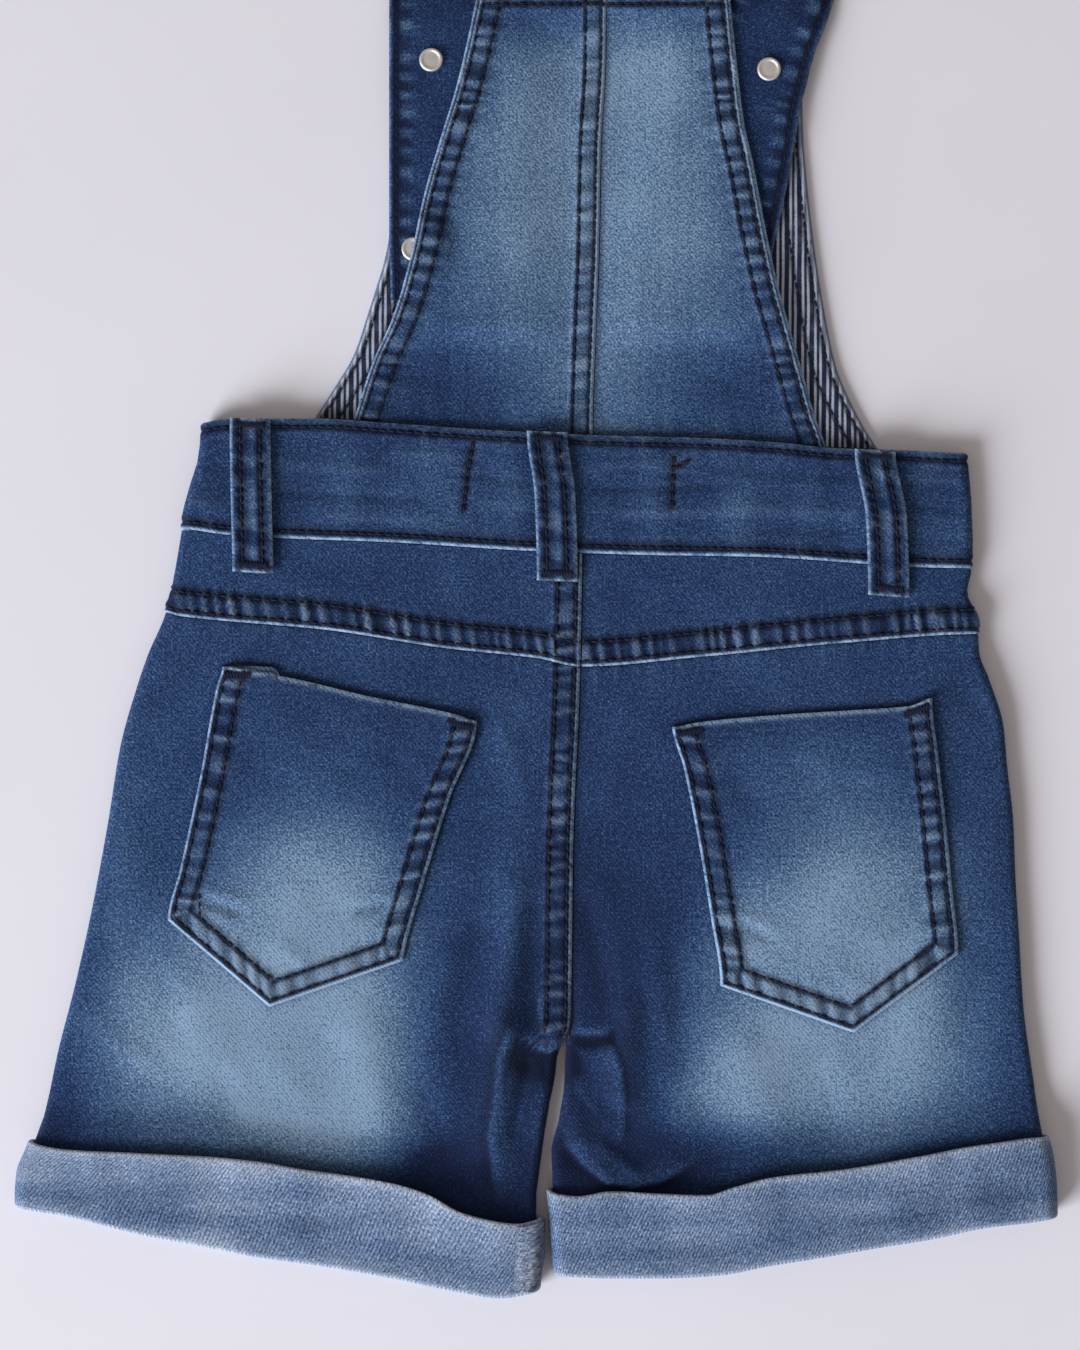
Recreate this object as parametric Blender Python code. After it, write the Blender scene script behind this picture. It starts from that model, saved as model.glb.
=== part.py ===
"""A child's short denim overalls, laid flat face down, with each cut piece of cloth as its own solid.

Lengths are millimetres until the last step, which writes metres. Across runs to the right, up runs
from the hem to the straps, and height runs away from the surface that the garment lies on. The
place (0, 0) is below the crotch, level with the lowest point of the hem.
"""

import math

import bmesh
import bpy
from mathutils import Vector

METRES_PER_MM = 0.001

# Cloth and seams
DENIM_WALL = 1.2
LINING_WALL = 1.0
STRAP_WALL = 1.5
CUFF_WALL = 1.6
SEAM_GAP = 0.3
LAID_GAP = 0.35
CUFF_GAP = 0.6
FELL_WIDTH = 7.5
FELL_RAISE = 0.7
HEM_WIDTH = 8.0
SEWN_STEP = 0.8

# The flattened tubes of the hips, legs and waist
HALF_HEIGHT = 2.9
WAISTBAND_RAISE = 0.6
CUFF_RISE = CUFF_WALL + CUFF_GAP
CUFF_EASE = 16.0
CUFF_HOOK = 1.6
CUFF_SHARE = 0.29
FOOT_RISES = (0.0, 9.0, 18.0, 25.0, 29.0, 33.0, 38.0, 44.0, 52.0, 60.0)
CROTCH_CLOSED = 84.0
CROTCH_OPEN = 114.0
CROTCH_BLEND = 12.0
SETTLE_ROUNDS = 5
SIDE_STEPS = 3
LEG_COLUMNS = 9
FRONT_COLUMNS = 6
CUFF_COLUMNS = 16
BAND_COLUMNS = 32
GATHER_HEIGHT = 0.22
GATHER_LENGTH = 27.0

# The bib, its lining and the straps
BIB_TOP = 451.0
FRONT_BIB_TOP = 437.5
LINING_INSET = 0.8
STRAP_WIDTH = 37.0
STRAP_FOLD_UP = 579.0
STRAP_END_UP = 344.0
BIB_RISE_START = 432.0
BIB_RISE_END = 446.0
STRAP_END_EASE = (18.0, 7.0)
STRAP_SIDE_EASE = (4.0, 14.0)
STRAP_UPPER_LEVELS = (456.0, 461.0, 467.0, 474.0, 482.0, 505.0, 530.0, 552.0, 569.0)
STRAP_LOWER_LEVELS = (
    569.0, 552.0, 530.0, 505.0, 482.0, 468.0, 460.0, 454.0, 449.0, 444.0, 436.0, 422.0, 405.0,
    388.0, 370.0, 356.0,
)
STRAP_FOLD_STEPS = 6
STRAP_TWIST = (552.0, 569.0)
STRAP_EASE = (441.0, 460.0)
STRAP_SETTLED = 480.0
SLOPE_STEP = 4.0

# Studs
STUD_RADIUS = 4.1
STUD_HEIGHT = 1.3
STUD_SIDES = 24
STUD_EASE = (5.0, 13.0)

# The middle of the finished outline, which is the origin of the part
ORIGIN_ACROSS = -9.21
ORIGIN_UP = 293.26

# Sides of the body from the hem to the waist: (up, across)
LEFT_SIDE = (
    (20, -184.5), (34, -186.8), (43, -186.2), (52, -182.8), (59, -180.0), (86, -174.0),
    (107, -168.6), (133, -162.8), (163, -157.2), (190, -152.8), (212, -146.6), (222, -143.1),
    (236, -137.2), (264, -131.7), (269, -131.0), (281, -127.9), (289, -125.5), (300, -124.5),
)
RIGHT_SIDE = (
    (20, 167.5), (29, 168.3), (39, 168.0), (48, 167.0), (58, 164.8), (75, 162.4), (100, 159.0),
    (123, 157.6), (146, 156.2), (164, 155.5), (183, 153.4), (197, 152.1), (213, 147.2),
    (222, 143.8), (232, 143.0), (238, 141.4), (243, 139.6), (251, 141.0), (275, 140.2),
    (291, 139.2),
)

# Inner edges of the back legs, the centre seam above the crotch: (up, across)
LEFT_INNER = (
    (0, -10.0), (8, -9.5), (16, -8.3), (28, -9.4), (33, -9.3), (50, -7.2), (62, -5.5),
    (77, -2.6), (84, -1.8), (88, 0.3), (92, 2.0), (98, 2.7), (117, 3.0),
    (151, 3.4), (174, 4.1), (197, 5.2), (217, 5.9), (262, 6.6),
)
RIGHT_INNER = (
    (0, -1.2), (8, -1.3), (13, -1.8), (26, -2.8), (38, -3.5), (50, -4.0), (61, -1.4),
    (72, 0.3), (84, 0.9), (88, 1.6), (92, 2.8), (98, 3.4), (117, 3.6),
    (151, 3.9), (174, 4.6), (197, 5.7), (217, 6.4), (262, 7.1),
)

# Edges that cross the garment: (across, up)
YOKE_EDGE = (
    (-138, 236.2), (-132, 234.8), (-81, 230.0), (-41, 223.8), (-9, 220.3), (6, 217.4),
    (47, 220.7), (96, 225.5), (143, 228.6),
)
BAND_BOTTOM = (
    (-132, 264.8), (-116, 262.8), (-99, 261.7), (-61, 260.3), (-10, 257.2), (27, 255.9),
    (67, 255.2), (104, 252.8), (120, 251.7), (141, 251.3),
)
BAND_TOP = (
    (-125, 301.4), (-117, 302.6), (-102, 302.8), (-84, 302.8), (-61, 301.4), (-31, 299.3),
    (-13, 298.3), (10, 297.2), (47, 296.2), (72, 294.8), (95, 292.6), (115, 292.0),
    (139, 291.0),
)
LEFT_CUFF_BOTTOM = (
    (-189, 31.5), (-182, 30.3), (-171, 28.6), (-145, 22.1), (-125, 18.3), (-105, 14.5),
    (-83, 11.4), (-59, 7.2), (-34, 2.1), (-22, 0.3), (-11, 2.1), (-7, 4.0),
)
LEFT_CUFF_TOP = (
    (-189, 53.5), (-183, 54.4), (-179, 52.8), (-170, 51.4), (-145, 50.3), (-125, 49.3),
    (-108, 47.9), (-89, 44.8), (-59, 40.3), (-46, 36.2), (-35, 30.3), (-25, 27.6),
    (-15, 26.2), (-7, 27.9),
)
RIGHT_CUFF_BOTTOM = (
    (-6, 8.2), (-2, 7.9), (16, 7.2), (34, 7.2), (54, 8.3), (71, 11.4), (90, 14.5),
    (108, 17.6), (127, 20.7), (145, 24.5), (168, 27.6), (171, 29.3),
)
RIGHT_CUFF_TOP = (
    (-6, 38.4), (-1, 36.2), (5, 35.5), (16, 37.2), (34, 36.6), (49, 36.2), (59, 39.0),
    (71, 42.1), (96, 44.8), (121, 49.0), (145, 53.4), (165, 55.6), (171, 55.0),
)

# How far the top of each cuff stands off the leg behind it: (across, stand)
LEFT_CUFF_STAND = ((-186, 0.6), (-150, 1.4), (-90, 1.6), (-50, 3.0), (-25, 3.4), (-9, 0.8))
RIGHT_CUFF_STAND = ((-5, 0.8), (15, 1.6), (40, 3.2), (68, 2.8), (110, 1.6), (150, 1.4), (168, 0.6))

# Bib edges and seam: (up, across)
BIB_LEFT = (
    (290, -76.5), (303, -72.1), (323, -65.5), (338, -58.6), (360, -52.1), (380, -47.9),
    (399, -42.4), (418, -36.6), (447, -30.0), (452, -29.0),
)
BIB_RIGHT = (
    (290, 91.0), (305, 86.6), (326, 80.7), (346, 74.8), (366, 70.3), (391, 65.5), (405, 62.4),
    (427, 59.7), (445, 57.9), (452, 57.4),
)
BIB_SEAM = ((295, 10.2), (336, 11.4), (361, 12.4), (397, 13.1), (427, 14.7), (452, 14.8))
FRONT_BIB_LEFT = (
    (290, -94.0), (303, -85.9), (315, -78.3), (325, -72.4), (339, -67.6), (350, -64.1),
    (358, -61.7), (368, -60.0), (400, -59.3), (438, -58.8),
)
FRONT_BIB_RIGHT = (
    (290, 110.5), (294, 107.9), (305, 101.4), (321, 94.5), (341, 90.3), (361, 87.2),
    (381, 84.8), (402, 83.1), (414, 82.8), (438, 80.5),
)

# Centre lines of the strap ends that lie on the lining: (up, across)
LEFT_STRAP_RUN = ((344, -41.0), (368, -41.5), (447, -41.5), (579, -43.0))
RIGHT_STRAP_RUN = (
    (344, 50.0), (366, 54.6), (381, 58.0), (399, 61.5), (414, 63.8), (422, 65.9), (434, 69.0),
    (447, 74.0), (579, 111.0),
)
LEFT_STRAP_START = -11.5
RIGHT_STRAP_START = 36.5

# Patch pockets: top corners, side and bottom corners, and the point of the bottom
POCKETS = {
    "left": {
        "top": ((-119, 217.2), (-97, 214.1), (-67, 207.2), (-37, 201.0), (-29, 198.6)),
        "outer": ((100, -132.0), (130, -135.9), (148, -131.7), (180, -124.8), (211, -119.0), (217, -117.2)),
        "inner": ((100, -57.0), (116, -55.2), (143, -47.9), (172, -39.0), (198, -29.7)),
        "bottom": ((-136, 130.3), (-101, 100.3), (-55, 116.2)),
    },
    "right": {
        "top": ((37, 196.6), (47, 198.3), (73, 200.7), (100, 202.4), (119, 203.8), (127, 206.6)),
        "outer": ((91, 135.9), (119, 135.9), (141, 133.8), (164, 131.7), (187, 129.0), (207, 126.9)),
        "inner": ((91, 52.0), (108, 54.1), (132, 50.7), (161, 45.9), (183, 41.4), (197, 37.6)),
        "bottom": ((54, 107.6), (100, 91.4), (136, 118.6)),
    },
}

# Belt loops: centre line at the top, at half length and at the foot
BELT_LOOPS = {
    "left": {"top": (-107.6, 302.6), "middle": (-107.2, 276.0), "foot": (-106.7, 249.7)},
    "centre": {"top": (-5.5, 298.2), "middle": (-2.8, 276.0), "foot": (-2.0, 246.8)},
    "right": {"top": (107.3, 291.8), "middle": (111.0, 269.0), "foot": (112.0, 241.6)},
}
POCKET_SLACK = 0.9
POCKET_HEM_SHARE = 0.905
LOOP_WIDTH = 14.0
LOOP_WALL = 1.3
LOOP_ARCH = 0.8
LOOP_TACK = 0.12

# Studs on the strap ends: (across, up)
STUDS = {
    "left_upper": (-45.5, 426.6),
    "left_lower": (-51.6, 361.4),
    "right_upper": (71.0, 423.4),
}

# Largest folds of the back: start, end, half width and height, a trough has a height below zero
FOLDS = (
    {"start": (-16, 140), "end": (-21, 94), "half_width": 6.0, "height": 1.6},
    {"start": (-21, 94), "end": (-25, 53), "half_width": 6.0, "height": 1.8},
    {"start": (-10, 134), "end": (-12, 94), "half_width": 4.5, "height": -1.2},
    {"start": (8, 134), "end": (17, 96), "half_width": 5.0, "height": -1.0},
    {"start": (21, 98), "end": (21, 70), "half_width": 6.0, "height": 1.5},
    {"start": (3, 60), "end": (14, 44), "half_width": 5.0, "height": 1.0},
    {"start": (-150, 150), "end": (-120, 85), "half_width": 12.0, "height": 0.8},
    {"start": (140, 150), "end": (120, 80), "half_width": 12.0, "height": 0.8},
    {"start": (-70, 92), "end": (-60, 56), "half_width": 9.0, "height": 0.9},
    {"start": (62, 86), "end": (74, 56), "half_width": 9.0, "height": 0.9},
)

# Width beside an edge over which the folds fade out
FOLD_FADE = 8.0

# Finish of each kind of piece: base colour, roughness and metallic value
FINISHES = {
    "denim": ((0.063, 0.120, 0.235), 0.9, 0.0),
    "denim_reverse": ((0.205, 0.310, 0.450), 0.92, 0.0),
    "striped_cotton": ((0.350, 0.420, 0.520), 0.85, 0.0),
    "plated_stud": ((0.560, 0.570, 0.580), 0.35, 1.0),
}


def smooth_share(low, high, value):
    """Share from 0 at low to 1 at high, with soft ends."""
    share = min(max((value - low) / (high - low), 0.0), 1.0)
    return share * share * (3.0 - 2.0 * share)


def blend(start, end, share):
    """Value at a share of the way from start to end."""
    return start + (end - start) * share


def tangent_at(rows, index):
    """Slope of the smooth line at one of its rows, level where the rows turn back."""
    if index in (0, len(rows) - 1):
        return 0.0
    before = (rows[index][1] - rows[index - 1][1]) / (rows[index][0] - rows[index - 1][0])
    after = (rows[index + 1][1] - rows[index][1]) / (rows[index + 1][0] - rows[index][0])
    if before * after <= 0.0:
        return 0.0
    return 2.0 * before * after / (before + after)


def line_at(rows, place):
    """Value at a place on the smooth line through the rows, level past both ends."""
    if place <= rows[0][0]:
        return rows[0][1]
    if place >= rows[-1][0]:
        return rows[-1][1]
    index = max(number for number, row in enumerate(rows) if row[0] <= place)
    span = rows[index + 1][0] - rows[index][0]
    share = (place - rows[index][0]) / span
    squared = share * share
    cubed = squared * share
    return (
        (2.0 * cubed - 3.0 * squared + 1.0) * rows[index][1]
        + (cubed - 2.0 * squared + share) * span * tangent_at(rows, index)
        + (3.0 * squared - 2.0 * cubed) * rows[index + 1][1]
        + (cubed - squared) * span * tangent_at(rows, index + 1)
    )


def moved_edge(rows, shift):
    """Copy of an edge, moved by a shift up or across the garment."""
    return tuple((place, value + shift) for place, value in rows)


def even_steps(start, end, count):
    """Evenly spaced values from start to end, both included."""
    return [blend(start, end, number / count) for number in range(count + 1)]


def finish_material(name):
    """Principled material of one finish."""
    material = bpy.data.materials.new(name)
    material.use_nodes = True
    shader = material.node_tree.nodes["Principled BSDF"]
    colour, roughness, metallic = FINISHES[name]
    shader.inputs["Base Color"].default_value = (*colour, 1.0)
    shader.inputs["Roughness"].default_value = roughness
    shader.inputs["Metallic"].default_value = metallic
    return material


def add_piece(name, mesh_builder, finish):
    """Object of one finished bmesh, in metres from the origin of the part."""
    for vertex in mesh_builder.verts:
        vertex.co.x = (vertex.co.x - ORIGIN_ACROSS) * METRES_PER_MM
        vertex.co.y = (vertex.co.y - ORIGIN_UP) * METRES_PER_MM
        vertex.co.z = vertex.co.z * METRES_PER_MM
    bmesh.ops.recalc_face_normals(mesh_builder, faces=mesh_builder.faces[:])
    if mesh_builder.calc_volume(signed=True) < 0.0:
        bmesh.ops.reverse_faces(mesh_builder, faces=mesh_builder.faces[:])
    data = bpy.data.meshes.new(name)
    mesh_builder.to_mesh(data)
    mesh_builder.free()
    data.shade_smooth()
    data.set_sharp_from_angle(angle=math.radians(50.0))
    piece = bpy.data.objects.new(name, data)
    piece.data.materials.append(finish_material(finish))
    bpy.context.scene.collection.objects.link(piece)
    return piece


def make_sheet(name, columns, rows, place, finish):
    """Closed cloth wall over a grid, where place gives a point of its face or of its back."""
    sheet = bmesh.new()
    across_cells = len(columns) - 1
    up_cells = len(rows) - 1
    bmesh.ops.create_grid(sheet, x_segments=across_cells, y_segments=up_cells, size=0.5)
    extruded = bmesh.ops.extrude_face_region(sheet, geom=sheet.faces[:])
    backs = {item for item in extruded["geom"] if isinstance(item, bmesh.types.BMVert)}
    for vertex in sheet.verts:
        column = columns[round((vertex.co.x + 0.5) * across_cells)]
        row = rows[round((vertex.co.y + 0.5) * up_cells)]
        vertex.co = place(column, row, vertex in backs)
    return add_piece(name, sheet, finish)


def make_ring(name, around, profile, place, finish):
    """Closed band whose profile runs all round a flattened tube."""
    ring = bmesh.new()
    bmesh.ops.create_grid(ring, x_segments=len(around), y_segments=len(profile), size=0.5)
    for vertex in ring.verts:
        stop = around[round((vertex.co.x + 0.5) * len(around)) % len(around)]
        corner = profile[round((vertex.co.y + 0.5) * len(profile)) % len(profile)]
        vertex.co = place(stop, corner)
    bmesh.ops.remove_doubles(ring, verts=ring.verts[:], dist=0.0001)
    return add_piece(name, ring, finish)


def bulge(inset):
    """Share of full height reached at an inset from a rounded side."""
    reach = 1.0 - min(max(inset, 0.0), HALF_HEIGHT) / HALF_HEIGHT
    return math.sqrt(max(1.0 - reach * reach, 0.0))


def fold_height(across, up):
    """Height that the folds of the back add at a place."""
    total = 0.0
    here = Vector((across, up))
    for fold in FOLDS:
        start = Vector(fold["start"])
        line = Vector(fold["end"]) - start
        share = min(max((here - start).dot(line) / line.length_squared, 0.0), 1.0)
        distance = (here - start - line * share).length
        total += fold["height"] * math.exp(-((distance / fold["half_width"]) ** 2))
    return total


def cuff_lift(side, across, up):
    """Height by which the lower layer of the cuff lifts the leg near the hem."""
    top = line_at(LEFT_CUFF_TOP if side == "left" else RIGHT_CUFF_TOP, across)
    return CUFF_RISE * (1.0 - smooth_share(top + 0.8, top + CUFF_EASE, up))


def body_edges(side, up, back):
    """Outer and inner edge of one half of the body at a level."""
    inner = line_at(LEFT_INNER if side == "left" else RIGHT_INNER, up)
    if not back:
        middle = -SEAM_GAP / 2.0 if side == "left" else SEAM_GAP / 2.0
        inner = blend(inner, middle, smooth_share(CROTCH_CLOSED, CROTCH_CLOSED + CROTCH_BLEND, up))
    outer = line_at(LEFT_SIDE if side == "left" else RIGHT_SIDE, up)
    return outer, inner


def body_point(side, inset, up, out, back, whole_width=False):
    """Point of one half of the body at an inset from its outer side, moved out from its face."""
    outer, inner = body_edges(side, up, back)
    inward = 1.0 if side == "left" else -1.0
    across = outer + inward * inset
    closed = 1.0 - smooth_share(CROTCH_CLOSED, CROTCH_OPEN, up)
    if whole_width:
        closed = 0.0
    inner_inset = (inner - across) * inward
    lift = min(bulge(inset), 1.0 - closed * (1.0 - bulge(inner_inset)))
    level = HALF_HEIGHT + cuff_lift(side, across, up)
    reach = (HALF_HEIGHT + out) * lift
    folds = fold_height(across, up) * smooth_share(0.0, FOLD_FADE, inset)
    folds *= 1.0 - closed * (1.0 - smooth_share(0.0, FOLD_FADE, inner_inset))
    shifted = across - inward * out * max(1.0 - max(inset, 0.0) / HALF_HEIGHT, 0.0)
    shifted += inward * closed * out * max(1.0 - max(inner_inset, 0.0) / HALF_HEIGHT, 0.0)
    height = level + SEAM_GAP + reach + folds if back else level - reach
    return Vector((shifted, up, height))


def side_insets(count):
    """Insets of the columns that round off a side."""
    return [HALF_HEIGHT * (1.0 - math.cos(math.pi / 2.0 * step / count)) for step in range(count)]


def row_level(lower, upper, across, row):
    """Level of a row, either a rise above the lower edge or a share of the way to the upper one."""
    foot = line_at(lower, across)
    kind, value = row
    if kind == "rise":
        return foot + value
    return blend(foot, line_at(upper, across), value)


def settle(side, column, lower, upper, row, back):
    """Inset and level of a grid column at a row between two slanting edges."""
    up = row_level(lower, upper, 0.0, row)
    inset = 0.0
    for _ in range(SETTLE_ROUNDS):
        outer, inner = body_edges(side, up, back)
        width = abs(inner - outer)
        kind, value = column
        if kind == "from_outer":
            inset = value
        elif kind == "from_inner":
            inset = width - value
        else:
            inset = blend(HALF_HEIGHT, width - FELL_WIDTH - SEWN_STEP, value)
        across = outer + inset * (1.0 if side == "left" else -1.0)
        up = row_level(lower, upper, across, row)
    return inset, up


def panel_columns(count):
    """Columns of a body panel from its outer side to its inner edge."""
    columns = [("from_outer", inset) for inset in side_insets(SIDE_STEPS)]
    columns += [("between", share) for share in even_steps(0.0, 1.0, count)]
    columns += [("from_inner", FELL_WIDTH - 0.3), ("from_inner", HALF_HEIGHT)]
    columns += [("from_inner", inset) for inset in reversed(side_insets(SIDE_STEPS))]
    return columns


def sewn_height(inset, width=FELL_WIDTH):
    """Extra height of a felled seam or a hem, from its edge to the step where it ends."""
    return FELL_RAISE * (1.0 - smooth_share(width - 0.1, width + SEWN_STEP, inset))


def seam_raise(side, inset, up, back):
    """Extra height of the felled centre seam, which the left half carries."""
    if side != "left" or not back:
        return 0.0
    outer, inner = body_edges(side, up, back)
    above_crotch = smooth_share(CROTCH_CLOSED, CROTCH_CLOSED + CROTCH_BLEND, up)
    return sewn_height(inner - outer - inset) * above_crotch


def make_body_panel(name, side, back, lower, upper, rows, columns, hem_at_foot=False):
    """Leg or yoke panel between two edges that cross the garment."""

    def place(column, row, is_back_face):
        inset, up = settle(side, column, lower, upper, row, back)
        out = -DENIM_WALL if is_back_face else seam_raise(side, inset, up, back)
        if hem_at_foot and not is_back_face:
            out = max(out, sewn_height(up - level_below(side, inset, up, lower, back)))
        return body_point(side, inset, up, out, back)

    make_sheet(name, columns, rows, place, "denim")


def level_below(side, inset, up, edge, back):
    """Level of an edge that crosses the garment, straight below a point of a panel."""
    outer, _ = body_edges(side, up, back)
    across = outer + inset * (1.0 if side == "left" else -1.0)
    return line_at(edge, across)


def make_legs():
    """Front and back leg panels, and the yokes above the back ones."""
    for side in ("left", "right"):
        cuff_bottom = LEFT_CUFF_BOTTOM if side == "left" else RIGHT_CUFF_BOTTOM
        foot = moved_edge(cuff_bottom, CUFF_HOOK + 2.0 * SEAM_GAP)
        leg_top = moved_edge(YOKE_EDGE, -SEAM_GAP)
        band = moved_edge(BAND_BOTTOM, -SEAM_GAP)
        front_foot = moved_edge(foot, 2.0 * SEAM_GAP)
        front_top = moved_edge(band, -2.0 * SEAM_GAP)
        near_cuff = [("rise", rise) for rise in FOOT_RISES]
        back_rows = near_cuff + [("share", share) for share in even_steps(CUFF_SHARE, 1.0, 9)[1:]]
        front_rows = near_cuff + [("share", share) for share in even_steps(CUFF_SHARE, 1.0, 6)[1:]]
        yoke_rows = [("rise", rise) for rise in (0.0, FELL_WIDTH, FELL_WIDTH + 1.0)]
        yoke_rows += [("share", 0.6), ("share", 1.0)]
        make_body_panel(f"back_leg_{side}", side, True, foot, leg_top, back_rows, panel_columns(LEG_COLUMNS))
        make_body_panel(f"front_leg_{side}", side, False, front_foot, front_top, front_rows,
                        panel_columns(FRONT_COLUMNS))
        make_body_panel(f"back_yoke_{side}", side, True, YOKE_EDGE, band, yoke_rows,
                        panel_columns(LEG_COLUMNS), hem_at_foot=True)


def cuff_point(side, stop, corner):
    """Point of a turned-up cuff, on its profile, at a stop round the leg."""
    bottom = LEFT_CUFF_BOTTOM if side == "left" else RIGHT_CUFF_BOTTOM
    top = LEFT_CUFF_TOP if side == "left" else RIGHT_CUFF_TOP
    stand_rows = LEFT_CUFF_STAND if side == "left" else RIGHT_CUFF_STAND
    column, back = stop
    climb, rise, out = corner
    inward = 1.0 if side == "left" else -1.0
    up = blend(line_at(bottom, 0.0), line_at(top, 0.0), climb)
    inset = 0.0
    for _ in range(SETTLE_ROUNDS):
        outer, inner = body_edges(side, up, True)
        width = abs(inner - outer)
        kind, value = column
        inset = value if kind == "from_outer" else width - value
        if kind == "between":
            inset = blend(HALF_HEIGHT, width - HALF_HEIGHT, value)
        across = outer + inward * inset
        up = blend(line_at(bottom, across), line_at(top, across), climb) + rise
    rounded = min(bulge(inset), bulge(width - inset))
    stand = line_at(stand_rows, across) * climb * climb * rounded if back else 0.0
    point = body_point(side, inset, up, out + stand, back)
    point.z = max(point.z, 0.0)
    return point


def make_cuffs():
    """Turned-up cuffs, folded over the end of each leg."""
    profile = (
        (1.0, 0.0, CUFF_GAP), (1.0, 0.0, CUFF_GAP + CUFF_WALL), (0.7, 0.0, CUFF_GAP + CUFF_WALL),
        (0.35, 0.0, CUFF_GAP + CUFF_WALL), (0.0, 1.2, CUFF_GAP + CUFF_WALL),
        (0.0, 0.0, CUFF_GAP + CUFF_WALL / 2.0), (0.0, 0.0, -DENIM_WALL / 2.0),
        (0.0, 0.6, -DENIM_WALL), (0.0, CUFF_HOOK, -DENIM_WALL), (0.0, CUFF_HOOK, CUFF_GAP),
        (0.35, 0.0, CUFF_GAP), (0.7, 0.0, CUFF_GAP),
    )
    columns = [("from_outer", inset) for inset in side_insets(SIDE_STEPS)]
    columns += [("between", share) for share in even_steps(0.0, 1.0, CUFF_COLUMNS)]
    columns += [("from_inner", inset) for inset in reversed(side_insets(SIDE_STEPS))]
    around = [(column, True) for column in columns]
    around += [(column, False) for column in reversed(columns)]
    for side in ("left", "right"):
        make_ring(
            f"cuff_{side}", around, profile,
            lambda stop, corner, side=side: cuff_point(side, stop, corner), "denim_reverse",
        )


def band_point(column, row, out, back):
    """Point of the waistband ring, from its left side to its right side."""
    up = blend(line_at(BAND_BOTTOM, 0.0), line_at(BAND_TOP, 0.0), row)
    across = 0.0
    for _ in range(SETTLE_ROUNDS):
        left = line_at(LEFT_SIDE, up)
        right = line_at(RIGHT_SIDE, up)
        kind, value = column
        across = blend(left + HALF_HEIGHT, right - HALF_HEIGHT, value)
        if kind == "from_left":
            across = left + value
        if kind == "from_right":
            across = right - value
        up = blend(line_at(BAND_BOTTOM, across), line_at(BAND_TOP, across), row)
    side = "left" if across - left < right - across else "right"
    inset = across - left if side == "left" else right - across
    return body_point(side, inset, up, out, back, whole_width=True)


def gather_wave(across, row):
    """Small rise and fall of the cloth over the waist elastic."""
    return GATHER_HEIGHT * math.sin(across * math.tau / GATHER_LENGTH) * math.sin(math.pi * row)


def make_waistbands():
    """Front and back waistband, joined at the side seams."""
    columns = [("from_left", inset) for inset in side_insets(SIDE_STEPS)]
    columns += [("between", share) for share in even_steps(0.0, 1.0, BAND_COLUMNS)]
    columns += [("from_right", inset) for inset in reversed(side_insets(SIDE_STEPS))]
    rows = (0.0, 0.04, 0.5, 0.96, 1.0)
    for name, back in (("back_waistband", True), ("front_waistband", False)):

        def place(column, row, is_back_face, back=back):
            out = -DENIM_WALL if is_back_face else 0.0
            if back and not is_back_face:
                out = WAISTBAND_RAISE if 0.0 < row < 1.0 else WAISTBAND_RAISE * 0.6
            point = band_point(column, row, out, back)
            if back:
                point.z += gather_wave(point.x, row)
            return point

        make_sheet(name, columns, rows, place, "denim")


def strap_near(across, up):
    """Share by which the strap ends below lift the back bib at a place."""
    reach = smooth_share(STRAP_END_UP - STRAP_END_EASE[0], STRAP_END_UP - STRAP_END_EASE[1], up)
    shares = [smooth_share(BIB_RISE_START, BIB_RISE_END, up)]
    for run in (LEFT_STRAP_RUN, RIGHT_STRAP_RUN):
        distance = abs(across - line_at(run, up))
        beside = distance - STRAP_WIDTH / 2.0
        shares.append(reach * (1.0 - smooth_share(*STRAP_SIDE_EASE, beside)))
    return max(shares)


def bib_underside(across, up):
    """Height of the underside of the back bib over the lining, the strap ends and the hidden stud."""
    lining_top = DENIM_WALL + SEAM_GAP + LINING_WALL
    stud_across, stud_up = STUDS["left_lower"]
    past_stud = math.hypot(across - stud_across, up - stud_up) - STUD_RADIUS
    stud_lift = (STUD_HEIGHT + SEAM_GAP) * (1.0 - smooth_share(*STUD_EASE, past_stud))
    return lining_top + SEAM_GAP + (STRAP_WALL + SEAM_GAP) * strap_near(across, up) + stud_lift


def make_flat_panel(name, left, right, lower, upper, bottom, top, columns, rows, finish):
    """Panel between two side edges, where bottom and top give the heights of its faces."""

    def place(column, row, is_back_face):
        up = blend(line_at(lower, 0.0), upper, row)
        across = 0.0
        for _ in range(SETTLE_ROUNDS):
            left_at = line_at(left, up)
            right_at = line_at(right, up)
            kind, value = column
            across = blend(left_at, right_at, value)
            if kind == "from_left":
                across = left_at + value
            if kind == "from_right":
                across = right_at - value
            up = blend(line_at(lower, across), upper, row)
        height = bottom(across, up) if is_back_face else top(across, up)
        return Vector((across, up, height))

    make_sheet(name, columns, rows, place, finish)


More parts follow.
